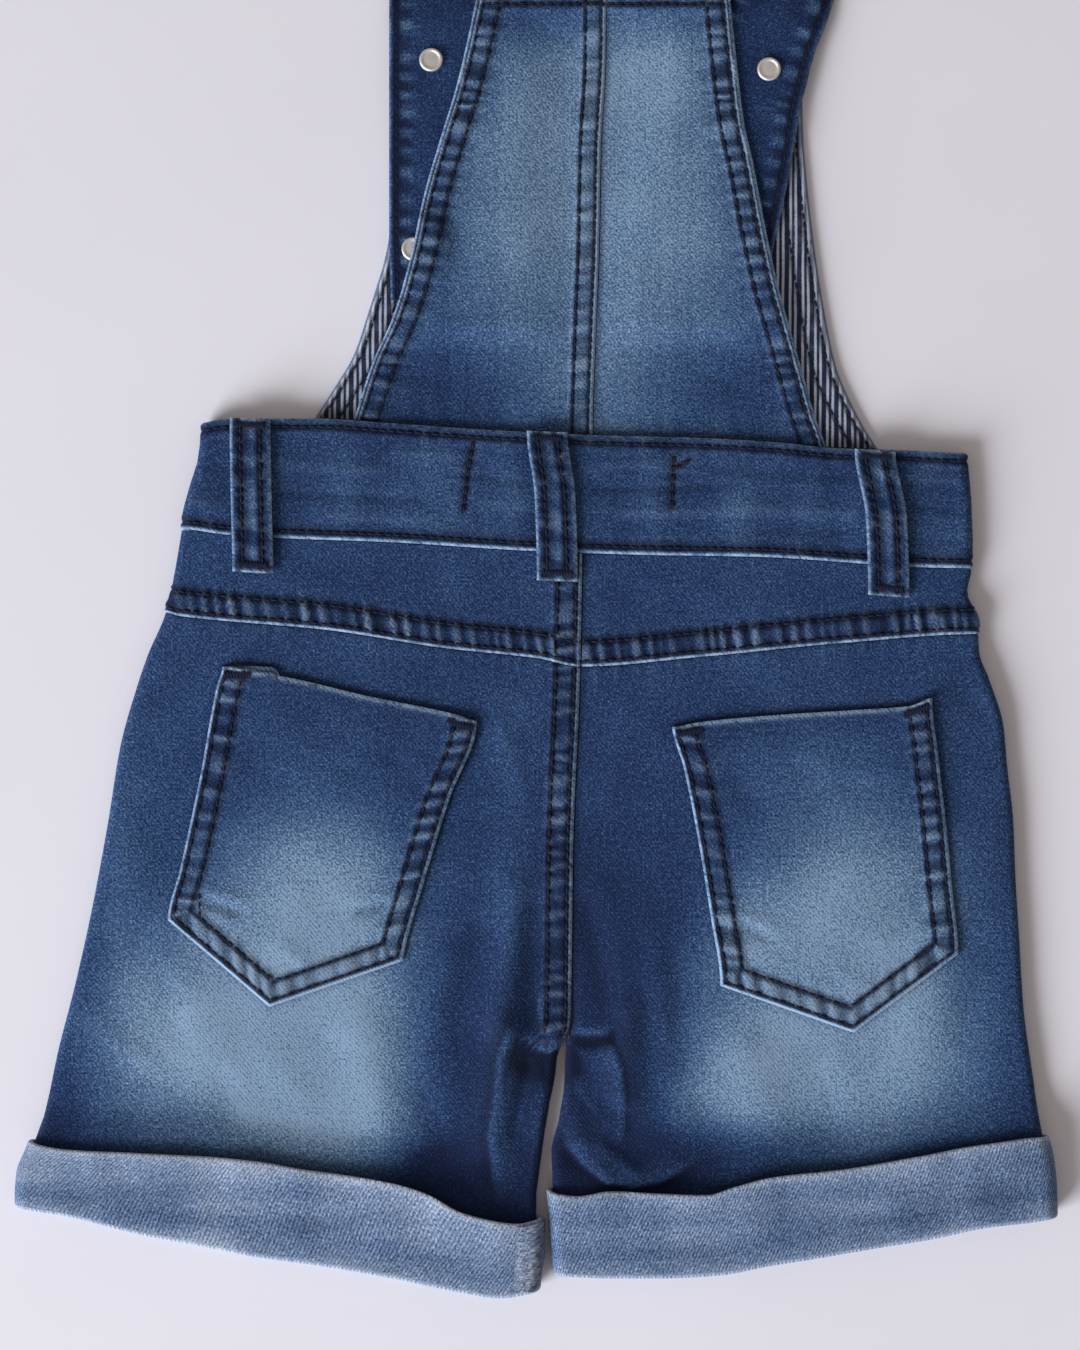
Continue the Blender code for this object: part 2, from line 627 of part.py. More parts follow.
def make_bibs():
    """Front bib, its striped lining, and the two halves of the back bib."""
    foot = moved_edge(BAND_TOP, SEAM_GAP)
    front_foot = moved_edge(BAND_TOP, 2.0 * SEAM_GAP)
    front_columns = [("share", share) for share in even_steps(0.0, 1.0, 8)]
    front_rows = even_steps(0.0, 1.0, 10)
    make_flat_panel(
        "front_bib", FRONT_BIB_LEFT, FRONT_BIB_RIGHT, front_foot, FRONT_BIB_TOP,
        lambda across, up: 0.0, lambda across, up: DENIM_WALL,
        front_columns, front_rows, "denim",
    )
    lining_bottom = DENIM_WALL + SEAM_GAP
    make_flat_panel(
        "front_bib_lining", moved_edge(FRONT_BIB_LEFT, LINING_INSET),
        moved_edge(FRONT_BIB_RIGHT, -LINING_INSET), front_foot, FRONT_BIB_TOP - LINING_INSET,
        lambda across, up: lining_bottom, lambda across, up: lining_bottom + LINING_WALL,
        front_columns, front_rows, "striped_cotton",
    )
    edge_insets = (0.0, 0.5, HEM_WIDTH, HEM_WIDTH + SEWN_STEP)
    for side in ("left", "right"):
        left = BIB_LEFT if side == "left" else moved_edge(BIB_SEAM, SEAM_GAP)
        right = BIB_SEAM if side == "left" else BIB_RIGHT
        if side == "left":
            columns = [("from_left", inset) for inset in edge_insets]
            columns += [("share", share) for share in even_steps(0.22, 0.84, 6)]
            columns += [("from_right", inset) for inset in (FELL_WIDTH + SEWN_STEP, FELL_WIDTH, 0.0)]
        else:
            columns = [("share", share) for share in even_steps(0.0, 0.78, 8)]
            columns += [("from_right", inset) for inset in reversed(edge_insets)]

        def top(across, up, side=side, left=left, right=right):
            from_left = across - line_at(left, up)
            from_right = line_at(right, up) - across
            raised = sewn_height(from_left if side == "left" else from_right, HEM_WIDTH)
            if side == "left":
                raised = max(raised, sewn_height(from_right))
            return bib_underside(across, up) + DENIM_WALL + raised

        make_flat_panel(
            f"back_bib_{side}", left, right, foot, BIB_TOP, bib_underside, top,
            columns, even_steps(0.0, 1.0, 20), "denim",
        )


def strap_levels(up):
    """Heights of the underside of the lower and the upper run of a strap at a level."""
    over_lining = DENIM_WALL + SEAM_GAP + LINING_WALL + SEAM_GAP
    lower = over_lining * (1.0 - smooth_share(*STRAP_EASE, up))
    at_bib = over_lining + STRAP_WALL + SEAM_GAP
    upper = blend(at_bib, STRAP_WALL + SEAM_GAP, smooth_share(BIB_TOP, STRAP_SETTLED, up))
    return lower, upper


def strap_stops(run, start):
    """Stops along a strap: middle of the cloth, direction across it, and direction of its face."""
    fold_across = line_at(run, STRAP_FOLD_UP)
    rise = Vector((fold_across - start, STRAP_FOLD_UP - BIB_TOP, 0.0)).normalized()
    below_fold = STRAP_TWIST[1]
    fall = Vector((line_at(run, below_fold) - fold_across, below_fold - STRAP_FOLD_UP, 0.0))
    fall.normalize()
    fold_normal = (rise - fall).normalized()
    width_up = Vector((rise.y, -rise.x, 0.0))
    fold_width = Vector((fold_normal.y, -fold_normal.x, 0.0)) / fold_normal.dot(rise)
    half = STRAP_WALL / 2.0
    stops = []
    for up in (BIB_TOP + SEAM_GAP, *STRAP_UPPER_LEVELS):
        share = (up - BIB_TOP) / (STRAP_FOLD_UP - BIB_TOP)
        across = blend(start, fold_across, share)
        middle = Vector((across, up, strap_levels(up)[1] + half))
        width = blend(Vector((1.0, 0.0, 0.0)), width_up, smooth_share(BIB_TOP, STRAP_SETTLED, up))
        width = blend(width, fold_width, smooth_share(*STRAP_TWIST, up))
        stops.append((middle, width, Vector((0.0, 0.0, 1.0))))
    turn = (STRAP_WALL + SEAM_GAP) / 2.0
    for step in range(STRAP_FOLD_STEPS + 1):
        angle = math.pi / 2.0 - math.pi * step / STRAP_FOLD_STEPS
        face = fold_normal * math.cos(angle) + Vector((0.0, 0.0, math.sin(angle)))
        centre = Vector((fold_across, STRAP_FOLD_UP, turn + half))
        stops.append((centre + face * turn, fold_width, face))
    for up in (*STRAP_LOWER_LEVELS, STRAP_END_UP):
        across = line_at(run, up)
        slope = (line_at(run, up + SLOPE_STEP) - line_at(run, up - SLOPE_STEP)) / (2.0 * SLOPE_STEP)
        width_down = Vector((1.0, -slope, 0.0)).normalized()
        width = blend(width_down, fold_width, smooth_share(*STRAP_TWIST, up))
        middle = Vector((across, up, strap_levels(up)[0] + half))
        stops.append((middle, width, Vector((0.0, 0.0, -1.0))))
    return stops


def make_straps():
    """Two straps, each folded back under itself to lie on the lining of the front bib."""
    for side in ("left", "right"):
        run = LEFT_STRAP_RUN if side == "left" else RIGHT_STRAP_RUN
        start = LEFT_STRAP_START if side == "left" else RIGHT_STRAP_START
        stops = strap_stops(run, start)

        def place(column, stop, is_back_face):
            middle, width, face = stop
            offset = -STRAP_WALL / 2.0 if is_back_face else STRAP_WALL / 2.0
            return middle + width * (column * STRAP_WIDTH) + face * offset

        make_sheet(f"strap_{side}", even_steps(-0.5, 0.5, 4), stops, place, "denim")


def pocket_point(side, column, row, out):
    """Point of a patch pocket that lies on the back of a leg."""
    shape = POCKETS[side]
    left_edge = shape["outer"] if side == "left" else shape["inner"]
    right_edge = shape["inner"] if side == "left" else shape["outer"]
    up = shape["bottom"][1][1]
    across = 0.0
    for _ in range(SETTLE_ROUNDS):
        across = blend(line_at(left_edge, up), line_at(right_edge, up), column)
        corner = 1 if across < shape["bottom"][1][0] else 2
        before = shape["bottom"][corner - 1]
        after = shape["bottom"][corner]
        foot = blend(before[1], after[1], (across - before[0]) / (after[0] - before[0]))
        up = blend(foot, line_at(shape["top"], across), row)
    outer, _ = body_edges(side, up, True)
    return body_point(side, abs(across - outer), up, out, True)


def make_pockets():
    """Two five-sided patch pockets, with a thicker hem along the top."""
    columns = (0.0, 0.08, 0.17, 0.26, 0.34, 0.42, 0.5, 0.6, 0.7, 0.8, 0.9, 1.0)
    rows = (0.0, 0.08, 0.2, 0.33, 0.45, 0.57, 0.68, 0.78, 0.9, 0.91, 1.0)
    for side in ("left", "right"):

        def place(column, row, is_back_face, side=side):
            slack = POCKET_SLACK * math.sin(math.pi * column) * math.sin(math.pi * row)
            out = LAID_GAP + slack
            if not is_back_face:
                out += DENIM_WALL + (FELL_RAISE if row > POCKET_HEM_SHARE else 0.0)
            return pocket_point(side, column, row, out)

        make_sheet(f"back_pocket_{side}", columns, rows, place, "denim")


def make_belt_loops():
    """Belt loops, sewn down at both ends over the back waistband."""
    columns = (-0.5, -0.44, 0.0, 0.44, 0.5)
    rows = (0.0, 0.06, 0.12, 0.2, 0.35, 0.55, 0.75, 0.9, 1.0)
    for name, loop in BELT_LOOPS.items():
        centre_rows = sorted((up, across) for across, up in loop.values())
        side = "left" if name != "right" else "right"

        def place(column, row, is_back_face, loop=loop, centre_rows=centre_rows, side=side):
            up = blend(loop["foot"][1], loop["top"][1], row)
            across = line_at(centre_rows, up) + column * LOOP_WIDTH
            up += line_at(BAND_BOTTOM, across) - line_at(BAND_BOTTOM, line_at(centre_rows, up))
            arch = LOOP_ARCH * math.sin(math.pi * max(row - LOOP_TACK, 0.0) / (1.0 - LOOP_TACK))
            out = 2.0 * SEAM_GAP + FELL_RAISE + arch
            if not is_back_face:
                out += LOOP_WALL
            outer = line_at(LEFT_SIDE if side == "left" else RIGHT_SIDE, up)
            return body_point(side, abs(across - outer), up, out, True, whole_width=True)

        make_sheet(f"belt_loop_{name}", columns, rows, place, "denim")


def make_studs():
    """Round studs on the strap ends, with a soft raised edge and a shallow dish."""
    strap_top = DENIM_WALL + SEAM_GAP + LINING_WALL + SEAM_GAP + STRAP_WALL
    outline = (
        (0.0, 0.0), (0.92, 0.0), (1.0, 0.25), (1.0, 0.6), (0.93, 0.9), (0.82, 1.0), (0.68, 0.85),
        (0.3, 0.7), (0.0, 0.7),
    )
    for name, (across, up) in STUDS.items():
        stud = bmesh.new()
        corners = [
            stud.verts.new((share * STUD_RADIUS, 0.0, rise * STUD_HEIGHT)) for share, rise in outline
        ]
        edges = [stud.edges.new(pair) for pair in zip(corners, corners[1:])]
        bmesh.ops.spin(
            stud, geom=corners + edges, cent=(0.0, 0.0, 0.0), axis=(0.0, 0.0, 1.0),
            angle=math.tau, steps=STUD_SIDES, use_merge=True,
        )
        bmesh.ops.remove_doubles(stud, verts=stud.verts[:], dist=0.001)
        bmesh.ops.translate(stud, verts=stud.verts[:], vec=(across, up, strap_top + SEAM_GAP))
        add_piece(f"stud_{name}", stud, "plated_stud")


def main():
    """Clear the scene and build every piece."""
    for item in list(bpy.data.objects):
        bpy.data.objects.remove(item, do_unlink=True)
    make_legs()
    make_cuffs()
    make_waistbands()
    make_bibs()
    make_straps()
    make_pockets()
    make_belt_loops()
    make_studs()


main()
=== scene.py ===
"""Looks of a child's short denim overalls, laid flat face down on a pale surface.

The garment is worked out in millimetres: across runs to the right, up runs from the hem to the
straps and height runs away from the surface. The place (0, 0) is below the crotch, level with the
lowest point of the hem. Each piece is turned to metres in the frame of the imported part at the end.
"""

import logging
import math
from collections.abc import Callable, Sequence
from dataclasses import dataclass, field
from enum import Enum
from functools import partial

import bmesh
import bpy
import numpy as np
from mathutils import Matrix, Vector


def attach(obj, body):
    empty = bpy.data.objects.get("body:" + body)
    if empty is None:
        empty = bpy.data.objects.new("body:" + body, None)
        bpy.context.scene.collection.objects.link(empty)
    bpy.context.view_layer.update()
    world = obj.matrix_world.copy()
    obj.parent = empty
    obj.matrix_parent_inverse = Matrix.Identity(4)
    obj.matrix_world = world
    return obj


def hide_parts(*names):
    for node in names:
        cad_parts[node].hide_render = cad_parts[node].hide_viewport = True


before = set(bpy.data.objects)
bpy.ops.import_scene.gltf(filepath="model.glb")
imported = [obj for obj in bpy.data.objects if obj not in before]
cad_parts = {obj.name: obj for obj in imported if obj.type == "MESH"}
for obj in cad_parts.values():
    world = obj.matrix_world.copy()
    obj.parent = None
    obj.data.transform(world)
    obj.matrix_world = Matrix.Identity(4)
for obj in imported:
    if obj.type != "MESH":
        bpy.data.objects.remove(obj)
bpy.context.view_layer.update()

Array = np.ndarray
Rows = tuple[tuple[float, float], ...]
Level = Callable[[Array], Array]

log = logging.getLogger("overalls")

METRES_PER_MM = 0.001
ORIGIN_ACROSS = -9.21
ORIGIN_UP = 293.26
BODY = "root"

# Cloth and gaps, in millimetres
DENIM_WALL = 1.2
LINING_WALL = 1.0
STRAP_WALL = 1.5
CUFF_WALL = 1.6
SEAM_GAP = 0.3
LAID_GAP = 0.35
CUFF_GAP = 0.6
SETTLE_ROUNDS = 5

# Half height of a stitch for each millimetre of its thickness
STITCH_RISE = 0.42


class Side(Enum):
    """Half of the garment, as it lies."""

    LEFT = "left"
    RIGHT = "right"


class Slot(Enum):
    """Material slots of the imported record."""

    DENIM = "denim"
    REVERSE = "denim_reverse"
    COTTON = "striped_cotton"
    STUD = "plated_stud"


def capped(value: Array) -> Array:
    """Value kept between 0 and 1."""
    return np.clip(value, 0.0, 1.0)


def smooth_share(low: float, high: float, value: Array) -> Array:
    """Share from 0 at low to 1 at high, with soft ends.

    Args:
        low: Value at which the share is 0.
        high: Value at which the share is 1.
        value: Values to turn into shares.

    Returns:
        The shares.
    """
    share = capped((np.asarray(value, float) - low) / (high - low))
    return share * share * (3.0 - 2.0 * share)


def hump(distance: Array, half_width: float) -> Array:
    """Soft hump that is 1 at distance 0 and fades over its half width.

    Args:
        distance: Distances from the middle of the hump.
        half_width: Distance at which about a third is left.

    Returns:
        The height of the hump, from 0 to 1.
    """
    return np.exp(-((distance / half_width) ** 2))


def uneven_line(place: Array, spacing: float, seed: int) -> Array:
    """Uneven smooth wave along a line.

    Args:
        place: Places along the line.
        spacing: Distance between the wave's turning points.
        seed: Number that picks the wave.

    Returns:
        Values from -1 to 1.
    """
    table = np.random.default_rng(seed).uniform(-1.0, 1.0, 512)
    steps = np.asarray(place, float) / spacing
    cell = np.floor(steps).astype(int)
    share = steps - cell
    share = share * share * (3.0 - 2.0 * share)
    return table[cell % 512] * (1.0 - share) + table[(cell + 1) % 512] * share


def uneven_field(across: Array, up: Array, spacing: float, seed: int) -> Array:
    """Uneven smooth rise and fall over a surface.

    Args:
        across: Places across the surface.
        up: Places up the surface.
        spacing: Distance between the turning points.
        seed: Number that picks the pattern.

    Returns:
        Values from -1 to 1.
    """
    table = np.random.default_rng(seed).uniform(-1.0, 1.0, (128, 128))
    steps = np.stack((np.asarray(across, float) / spacing, np.asarray(up, float) / spacing))
    cell = np.floor(steps).astype(int)
    share = steps - cell
    share = share * share * (3.0 - 2.0 * share)
    low, high = cell % 128, (cell + 1) % 128
    near = table[low[0], low[1]] * (1.0 - share[0]) + table[high[0], low[1]] * share[0]
    far = table[low[0], high[1]] * (1.0 - share[0]) + table[high[0], high[1]] * share[0]
    return near * (1.0 - share[1]) + far * share[1]


@dataclass(frozen=True)
class Edge:
    """Smooth line through rows of place and value, level past both ends."""

    rows: Rows

    def __call__(self, place: Array) -> Array:
        """Value of the line at each place.

        Args:
            place: Places along the line.

        Returns:
            The values there.
        """
        knots, values = (np.array(column, float) for column in zip(*self.rows))
        spans = np.diff(knots)
        slopes = np.diff(values) / spans
        product = slopes[:-1] * slopes[1:]
        total = np.where(product > 0.0, slopes[:-1] + slopes[1:], 1.0)
        tangents = np.zeros(len(knots))
        tangents[1:-1] = np.where(product > 0.0, 2.0 * product / total, 0.0)
        place = np.clip(np.asarray(place, float), knots[0], knots[-1])
        index = np.clip(np.searchsorted(knots, place, side="right") - 1, 0, len(spans) - 1)
        share = (place - knots[index]) / spans[index]
        squared, cubed = share**2, share**3
        return (
            (2.0 * cubed - 3.0 * squared + 1.0) * values[index]
            + (cubed - 2.0 * squared + share) * spans[index] * tangents[index]
            + (3.0 * squared - 2.0 * cubed) * values[index + 1]
            + (cubed - squared) * spans[index] * tangents[index + 1]
        )

    def moved(self, shift: float) -> "Edge":
        """Copy of the line with its values moved by a shift."""
        return Edge(tuple((place, value + shift) for place, value in self.rows))


@dataclass(frozen=True)
class Crease:
    """Soft ridge of the cloth, or a trough where its height is below zero."""

    start: tuple[float, float]
    end: tuple[float, float]
    half_width: float
    height: float

    def rise(self, across: Array, up: Array) -> Array:
        """Height that the crease adds at each place.

        Args:
            across: Places across the garment.
            up: Places up the garment.

        Returns:
            The heights in millimetres.
        """
        line = np.subtract(self.end, self.start)
        along = ((across - self.start[0]) * line[0] + (up - self.start[1]) * line[1]) / (line @ line)
        along = capped(along)
        distance = np.hypot(
            across - self.start[0] - line[0] * along, up - self.start[1] - line[1] * along
        )
        return self.height * hump(distance, self.half_width)


@dataclass(frozen=True)
class FoldLine:
    """Edge of a soft fold: raised, lit cloth on one side and a shadow on the other.

    The lit side is on the right of the line as it runs through its rows of across and up.
    """

    rows: Rows
    lit: float
    shade: float
    height: float
    darkness: float

    def sides(self, across: Array, up: Array) -> tuple[Array, Array, Array]:
        """Closeness to the line on its lit side, to its rim and on its shaded side.

        Args:
            across: Places across the garment.
            up: Places up the garment.

        Returns:
            The shares on the lit side, on the rim and on the shaded side.
        """
        nearest = np.full(np.shape(across), 1e9)
        turned = np.zeros(np.shape(across))
        ends = np.ones(np.shape(across))
        count = len(self.rows) - 1
        for index, (start, end) in enumerate(zip(self.rows, self.rows[1:])):
            line = np.subtract(end, start)
            right, ahead = across - start[0], up - start[1]
            along = capped((right * line[0] + ahead * line[1]) / (line @ line))
            distance = np.hypot(right - line[0] * along, ahead - line[1] * along)
            closer = distance < nearest
            nearest = np.where(closer, distance, nearest)
            turned = np.where(closer, line[0] * ahead - line[1] * right, turned)
            run = (index + along) / count
            faded = smooth_share(0.0, 0.22, run) * smooth_share(0.0, 0.22, 1.0 - run)
            ends = np.where(closer, faded, ends)
        beside = np.where(turned < 0.0, nearest, -nearest)
        lit = hump(np.maximum(beside, 0.0), self.lit) * smooth_share(-1.4, 1.6, beside)
        rim = hump(beside - 1.2, 2.2)
        shade = hump(np.maximum(-beside, 0.0), self.shade) * smooth_share(-0.1, 0.8, -beside)
        return lit * ends, rim * ends, shade * ends


@dataclass(frozen=True)
class TonePatch:
    """Soft patch of lighter colour, or darker where its strength is below zero: mostly the wash's fading,
    and a few painted shadows.
    """

    across: float
    up: float
    half_width: float
    half_length: float
    strength: float
    turn: float = 0.0

    def share(self, across: Array, up: Array) -> Array:
        """Change that the patch adds to the wash at each place.

        Args:
            across: Places across the garment.
            up: Places up the garment.

        Returns:
            The change, which is the strength in the middle.
        """
        turn = math.radians(self.turn)
        right = (across - self.across) * math.cos(turn) + (up - self.up) * math.sin(turn)
        ahead = (up - self.up) * math.cos(turn) - (across - self.across) * math.sin(turn)
        spread = (right / self.half_width) ** 2 + (ahead / self.half_length) ** 2
        return self.strength * np.exp(-(spread**1.25))


@dataclass
class Surface:
    """Points on a piece of cloth, in millimetres, and what the finish shows there.

    wash is the share of dye that is gone, with painted highlight on folds and painted shadow above
    the cuffs; worn is the rubbed lightness of edges and ridges, with painted highlight on crease
    ridges; and dark is painted shade in creases, folds, gaps, stitch grooves and beside raised
    edges, together with the deep dye left along the stitch rows.
    """

    points: Array
    wash: Array
    worn: Array
    dark: Array


@dataclass(frozen=True)
class SewnEdge:
    """Doubled cloth along an edge, with its stitch rows and the puckers that the wash brings out."""

    rows: tuple[float, ...]
    width: float
    raised: float = 0.7
    rope: float = 1.0
    worn: float = 1.0
    line: float = 1.05
    wave: float = 7.0
    seed: int = 1
    roll: float = 0.75
    shadow: float = 0.88
    spread: float = 5.0

    def relief(self, inset: Array, run: Array) -> tuple[Array, Array, Array]:
        """Height, worn lightness and darkness beside the edge.

        Args:
            inset: Distances from the edge.
            run: Distances along the edge.

        Returns:
            The added height in millimetres, and the worn and the dark shares.
        """
        doubled = 1.0 - smooth_share(self.width - 0.2, self.width + 0.9, inset)
        height = self.raised * doubled - self.roll * (1.0 - smooth_share(0.0, 0.8, inset))
        grooves = sum(hump(inset - row, 0.75) for row in self.rows)
        shadow = sum(hump(inset - row, self.shadow) for row in self.rows)
        lean = run + 0.16 * inset
        wander = uneven_line(run, self.wave * 1.7, self.seed)
        even = np.sin(math.tau * (lean / self.wave + 0.7 * wander))
        loose = uneven_line(lean, self.wave * 0.27, self.seed + 4)
        strength = 0.72 + 0.28 * uneven_line(run, self.wave * 2.3, self.seed + 1)
        pucker = np.tanh(1.6 * (0.75 * even + 0.7 * loose)) * strength
        last = max(self.rows)
        band = smooth_share(0.6, 2.6, inset) * (1.0 - smooth_share(last - 0.4, last + 1.2, inset))
        beyond = smooth_share(last - 0.4, last + 1.0, inset) * (
            1.0 - smooth_share(last + 1.0, last + self.spread, inset)
        )
        if len(self.rows) == 1:
            band, beyond = band * 0.5, beyond * 0.6
        height = height + self.rope * pucker * (0.42 * band + 0.14 * beyond) - 0.45 * grooves
        speck = uneven_line(run, 1.1, self.seed + 2)
        fray = uneven_line(run, 2.6, self.seed + 3)
        rubbed = self.worn * (0.78 + 0.38 * speck + 0.16 * fray)
        edge_line = rubbed * hump(inset - 0.3, self.line) ** 2
        lit = capped(pucker) ** 1.4
        shaded = capped(-pucker)
        worn = edge_line + self.rope * lit * (0.46 * band + 0.15 * beyond)
        dark = (1.15 + 0.2 * fray) * shadow + self.rope * shaded * (0.58 * band + 0.26 * beyond)
        dark = dark + 0.22 * doubled * smooth_share(1.2, 2.2, inset)
        dark = dark * (1.0 - 0.7 * hump(inset - 0.3, self.line) ** 2)
        return height, capped(worn), capped(dark)


def close_insets(rows: Sequence[float], reach: float, step: float = 0.8) -> list[float]:
    """Insets of grid lines beside a sewn edge, close together at its stitch rows.

    Args:
        rows: Insets of the stitch rows.
        reach: Inset of the last line.
        step: Widest spacing.

    Returns:
        The insets, from 0 to the reach.
    """
    marks = {0.0, 0.2, 0.45, 0.8, 1.2, reach}
    for row in rows:
        marks |= {round(row + shift, 3) for shift in (-0.9, -0.45, 0.0, 0.45, 0.9)}
    marks = sorted(mark for mark in marks if 0.0 <= mark <= reach)
    insets = [0.0]
    for mark in marks[1:]:
        count = max(math.ceil((mark - insets[-1]) / step), 1)
        insets += list(np.linspace(insets[-1], mark, count + 1))[1:]
    return [inset for before, inset in zip([-1.0] + insets, insets) if inset - before > 0.12]


def grid_lines(start: Sequence[float], end: Sequence[float], count: int) -> Array:
    """Grid lines from one edge to the opposite one, close together beside both.

    Args:
        start: Insets from the first edge, the last one being where the even lines begin.
        end: Insets from the opposite edge, in the same way.
        count: Number of even steps between them.

    Returns:
        One row for each line: its share of the way and its shift in millimetres.
    """
    lines = [(0.0, inset) for inset in start[:-1]]
    for share in np.linspace(0.0, 1.0, count + 1):
        lines.append((share, start[-1] * (1.0 - share) - end[-1] * share))
    lines += [(1.0, -inset) for inset in reversed(end[:-1])]
    return np.array(lines)


def distance_along(points: Array) -> Array:
    """Distance of each point of a row from the first one, measured along the row.

    Args:
        points: Rows of across, up and height.

    Returns:
        The distances, the first of which is 0.
    """
    return np.concatenate(([0.0], np.cumsum(np.linalg.norm(np.diff(points, axis=0), axis=1))))


def to_frame(points: Array) -> Array:
    """Turn garment millimetres to metres in the frame of the part.

    Args:
        points: Rows of across, up and height in millimetres.

    Returns:
        Rows of x, y and z in metres.
    """
    moved = np.array(points, float)
    moved[:, 0] -= ORIGIN_ACROSS
    moved[:, 1] -= ORIGIN_UP
    return moved * METRES_PER_MM


def wall_grid(columns: int, rows: int) -> tuple[bmesh.types.BMesh, Array, Array, Array]:
    """Closed wall of two equal grids that are joined along their edges.

    Args:
        columns: Number of its grid lines from left to right.
        rows: Number of its grid lines from foot to head.

    Returns:
        The bmesh, and the column, the row and the inner side of each of its vertices.
    """
    shell = bmesh.new()
    cells = (columns - 1, rows - 1)
    bmesh.ops.create_grid(shell, x_segments=cells[0], y_segments=cells[1], size=0.5)
    extruded = bmesh.ops.extrude_face_region(shell, geom=shell.faces[:])
    backs = {item for item in extruded["geom"] if isinstance(item, bmesh.types.BMVert)}
    grid = np.array([vertex.co for vertex in shell.verts])
    column = np.rint((grid[:, 0] + 0.5) * cells[0]).astype(int)
    row = np.rint((grid[:, 1] + 0.5) * cells[1]).astype(int)
    return shell, column, row, np.array([vertex in backs for vertex in shell.verts])


def place_vertices(builder: bmesh.types.BMesh, points: Array) -> None:
    """Move the vertices of a bmesh to points in garment millimetres."""
    for vertex, place in zip(builder.verts, to_frame(points)):
        vertex.co = place


def close_mesh(builder: bmesh.types.BMesh) -> None:
    """Turn all faces of a closed bmesh outwards."""
    bmesh.ops.recalc_face_normals(builder, faces=builder.faces[:])
    if builder.calc_volume(signed=True) < 0.0:
        bmesh.ops.reverse_faces(builder, faces=builder.faces[:])


def add_object(
    name: str, builder: bmesh.types.BMesh, material: bpy.types.Material, sharp: float = 60.0
) -> bpy.types.Object:
    """Make an object of a finished bmesh.

    Args:
        name: Name of the piece.
        builder: Its bmesh, in metres, which is freed.
        material: Finish of the piece.
        sharp: Angle in degrees past which an edge is shaded sharp.

    Returns:
        The new object.
    """
    data = bpy.data.meshes.new(name)
    builder.to_mesh(data)
    builder.free()
    data.shade_smooth()
    data.set_sharp_from_angle(angle=math.radians(sharp))
    data.materials.append(material)
    piece = bpy.data.objects.new(name, data)
    bpy.context.scene.collection.objects.link(piece)
    return piece


def write_attribute(piece: bpy.types.Object, name: str, columns: Sequence[Array]) -> None:
    """Give each vertex of a piece three values that its material reads.

    Args:
        piece: Piece with the vertices.
        name: Name of the attribute.
        columns: The three arrays of values, one for each vertex.
    """
    attribute = piece.data.attributes.new(name, "FLOAT_VECTOR", "POINT")
    attribute.data.foreach_set("vector", np.stack(columns, axis=1).astype(np.float32).ravel())


def dress_cloth(piece: bpy.types.Object, cloth: Array, inside: Array, surface: Surface) -> None:
    """Write what the cloth finishes read: the place on the cloth, and wash, wear and dark, which also carry
    painted highlight and painted shade.

    Args:
        piece: Piece of cloth.
        cloth: Place of each vertex on the flat cloth, in millimetres.
        inside: 1 on the wrong side of the cloth and 0 on its face.
        surface: What the finish shows at each vertex.
    """
    face = 1.0 - inside
    write_attribute(piece, "cloth", (cloth[:, 0], cloth[:, 1], inside))
    write_attribute(piece, "marks", (surface.wash, surface.worn * face, surface.dark * face))


def register(
    piece: bpy.types.Object, node: str | None = None
) -> bpy.types.Object:
    """Tie a piece to the frame: its body and the node that it stands for.

    Args:
        piece: The new piece.
        node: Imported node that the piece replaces, if it replaces one.

    Returns:
        The same piece.
    """
    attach(piece, BODY)
    if node is not None:
        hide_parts(node)
    piece.data.calc_loop_triangles()
    log.info("%s: %d triangles", piece.name, len(piece.data.loop_triangles))
    return piece


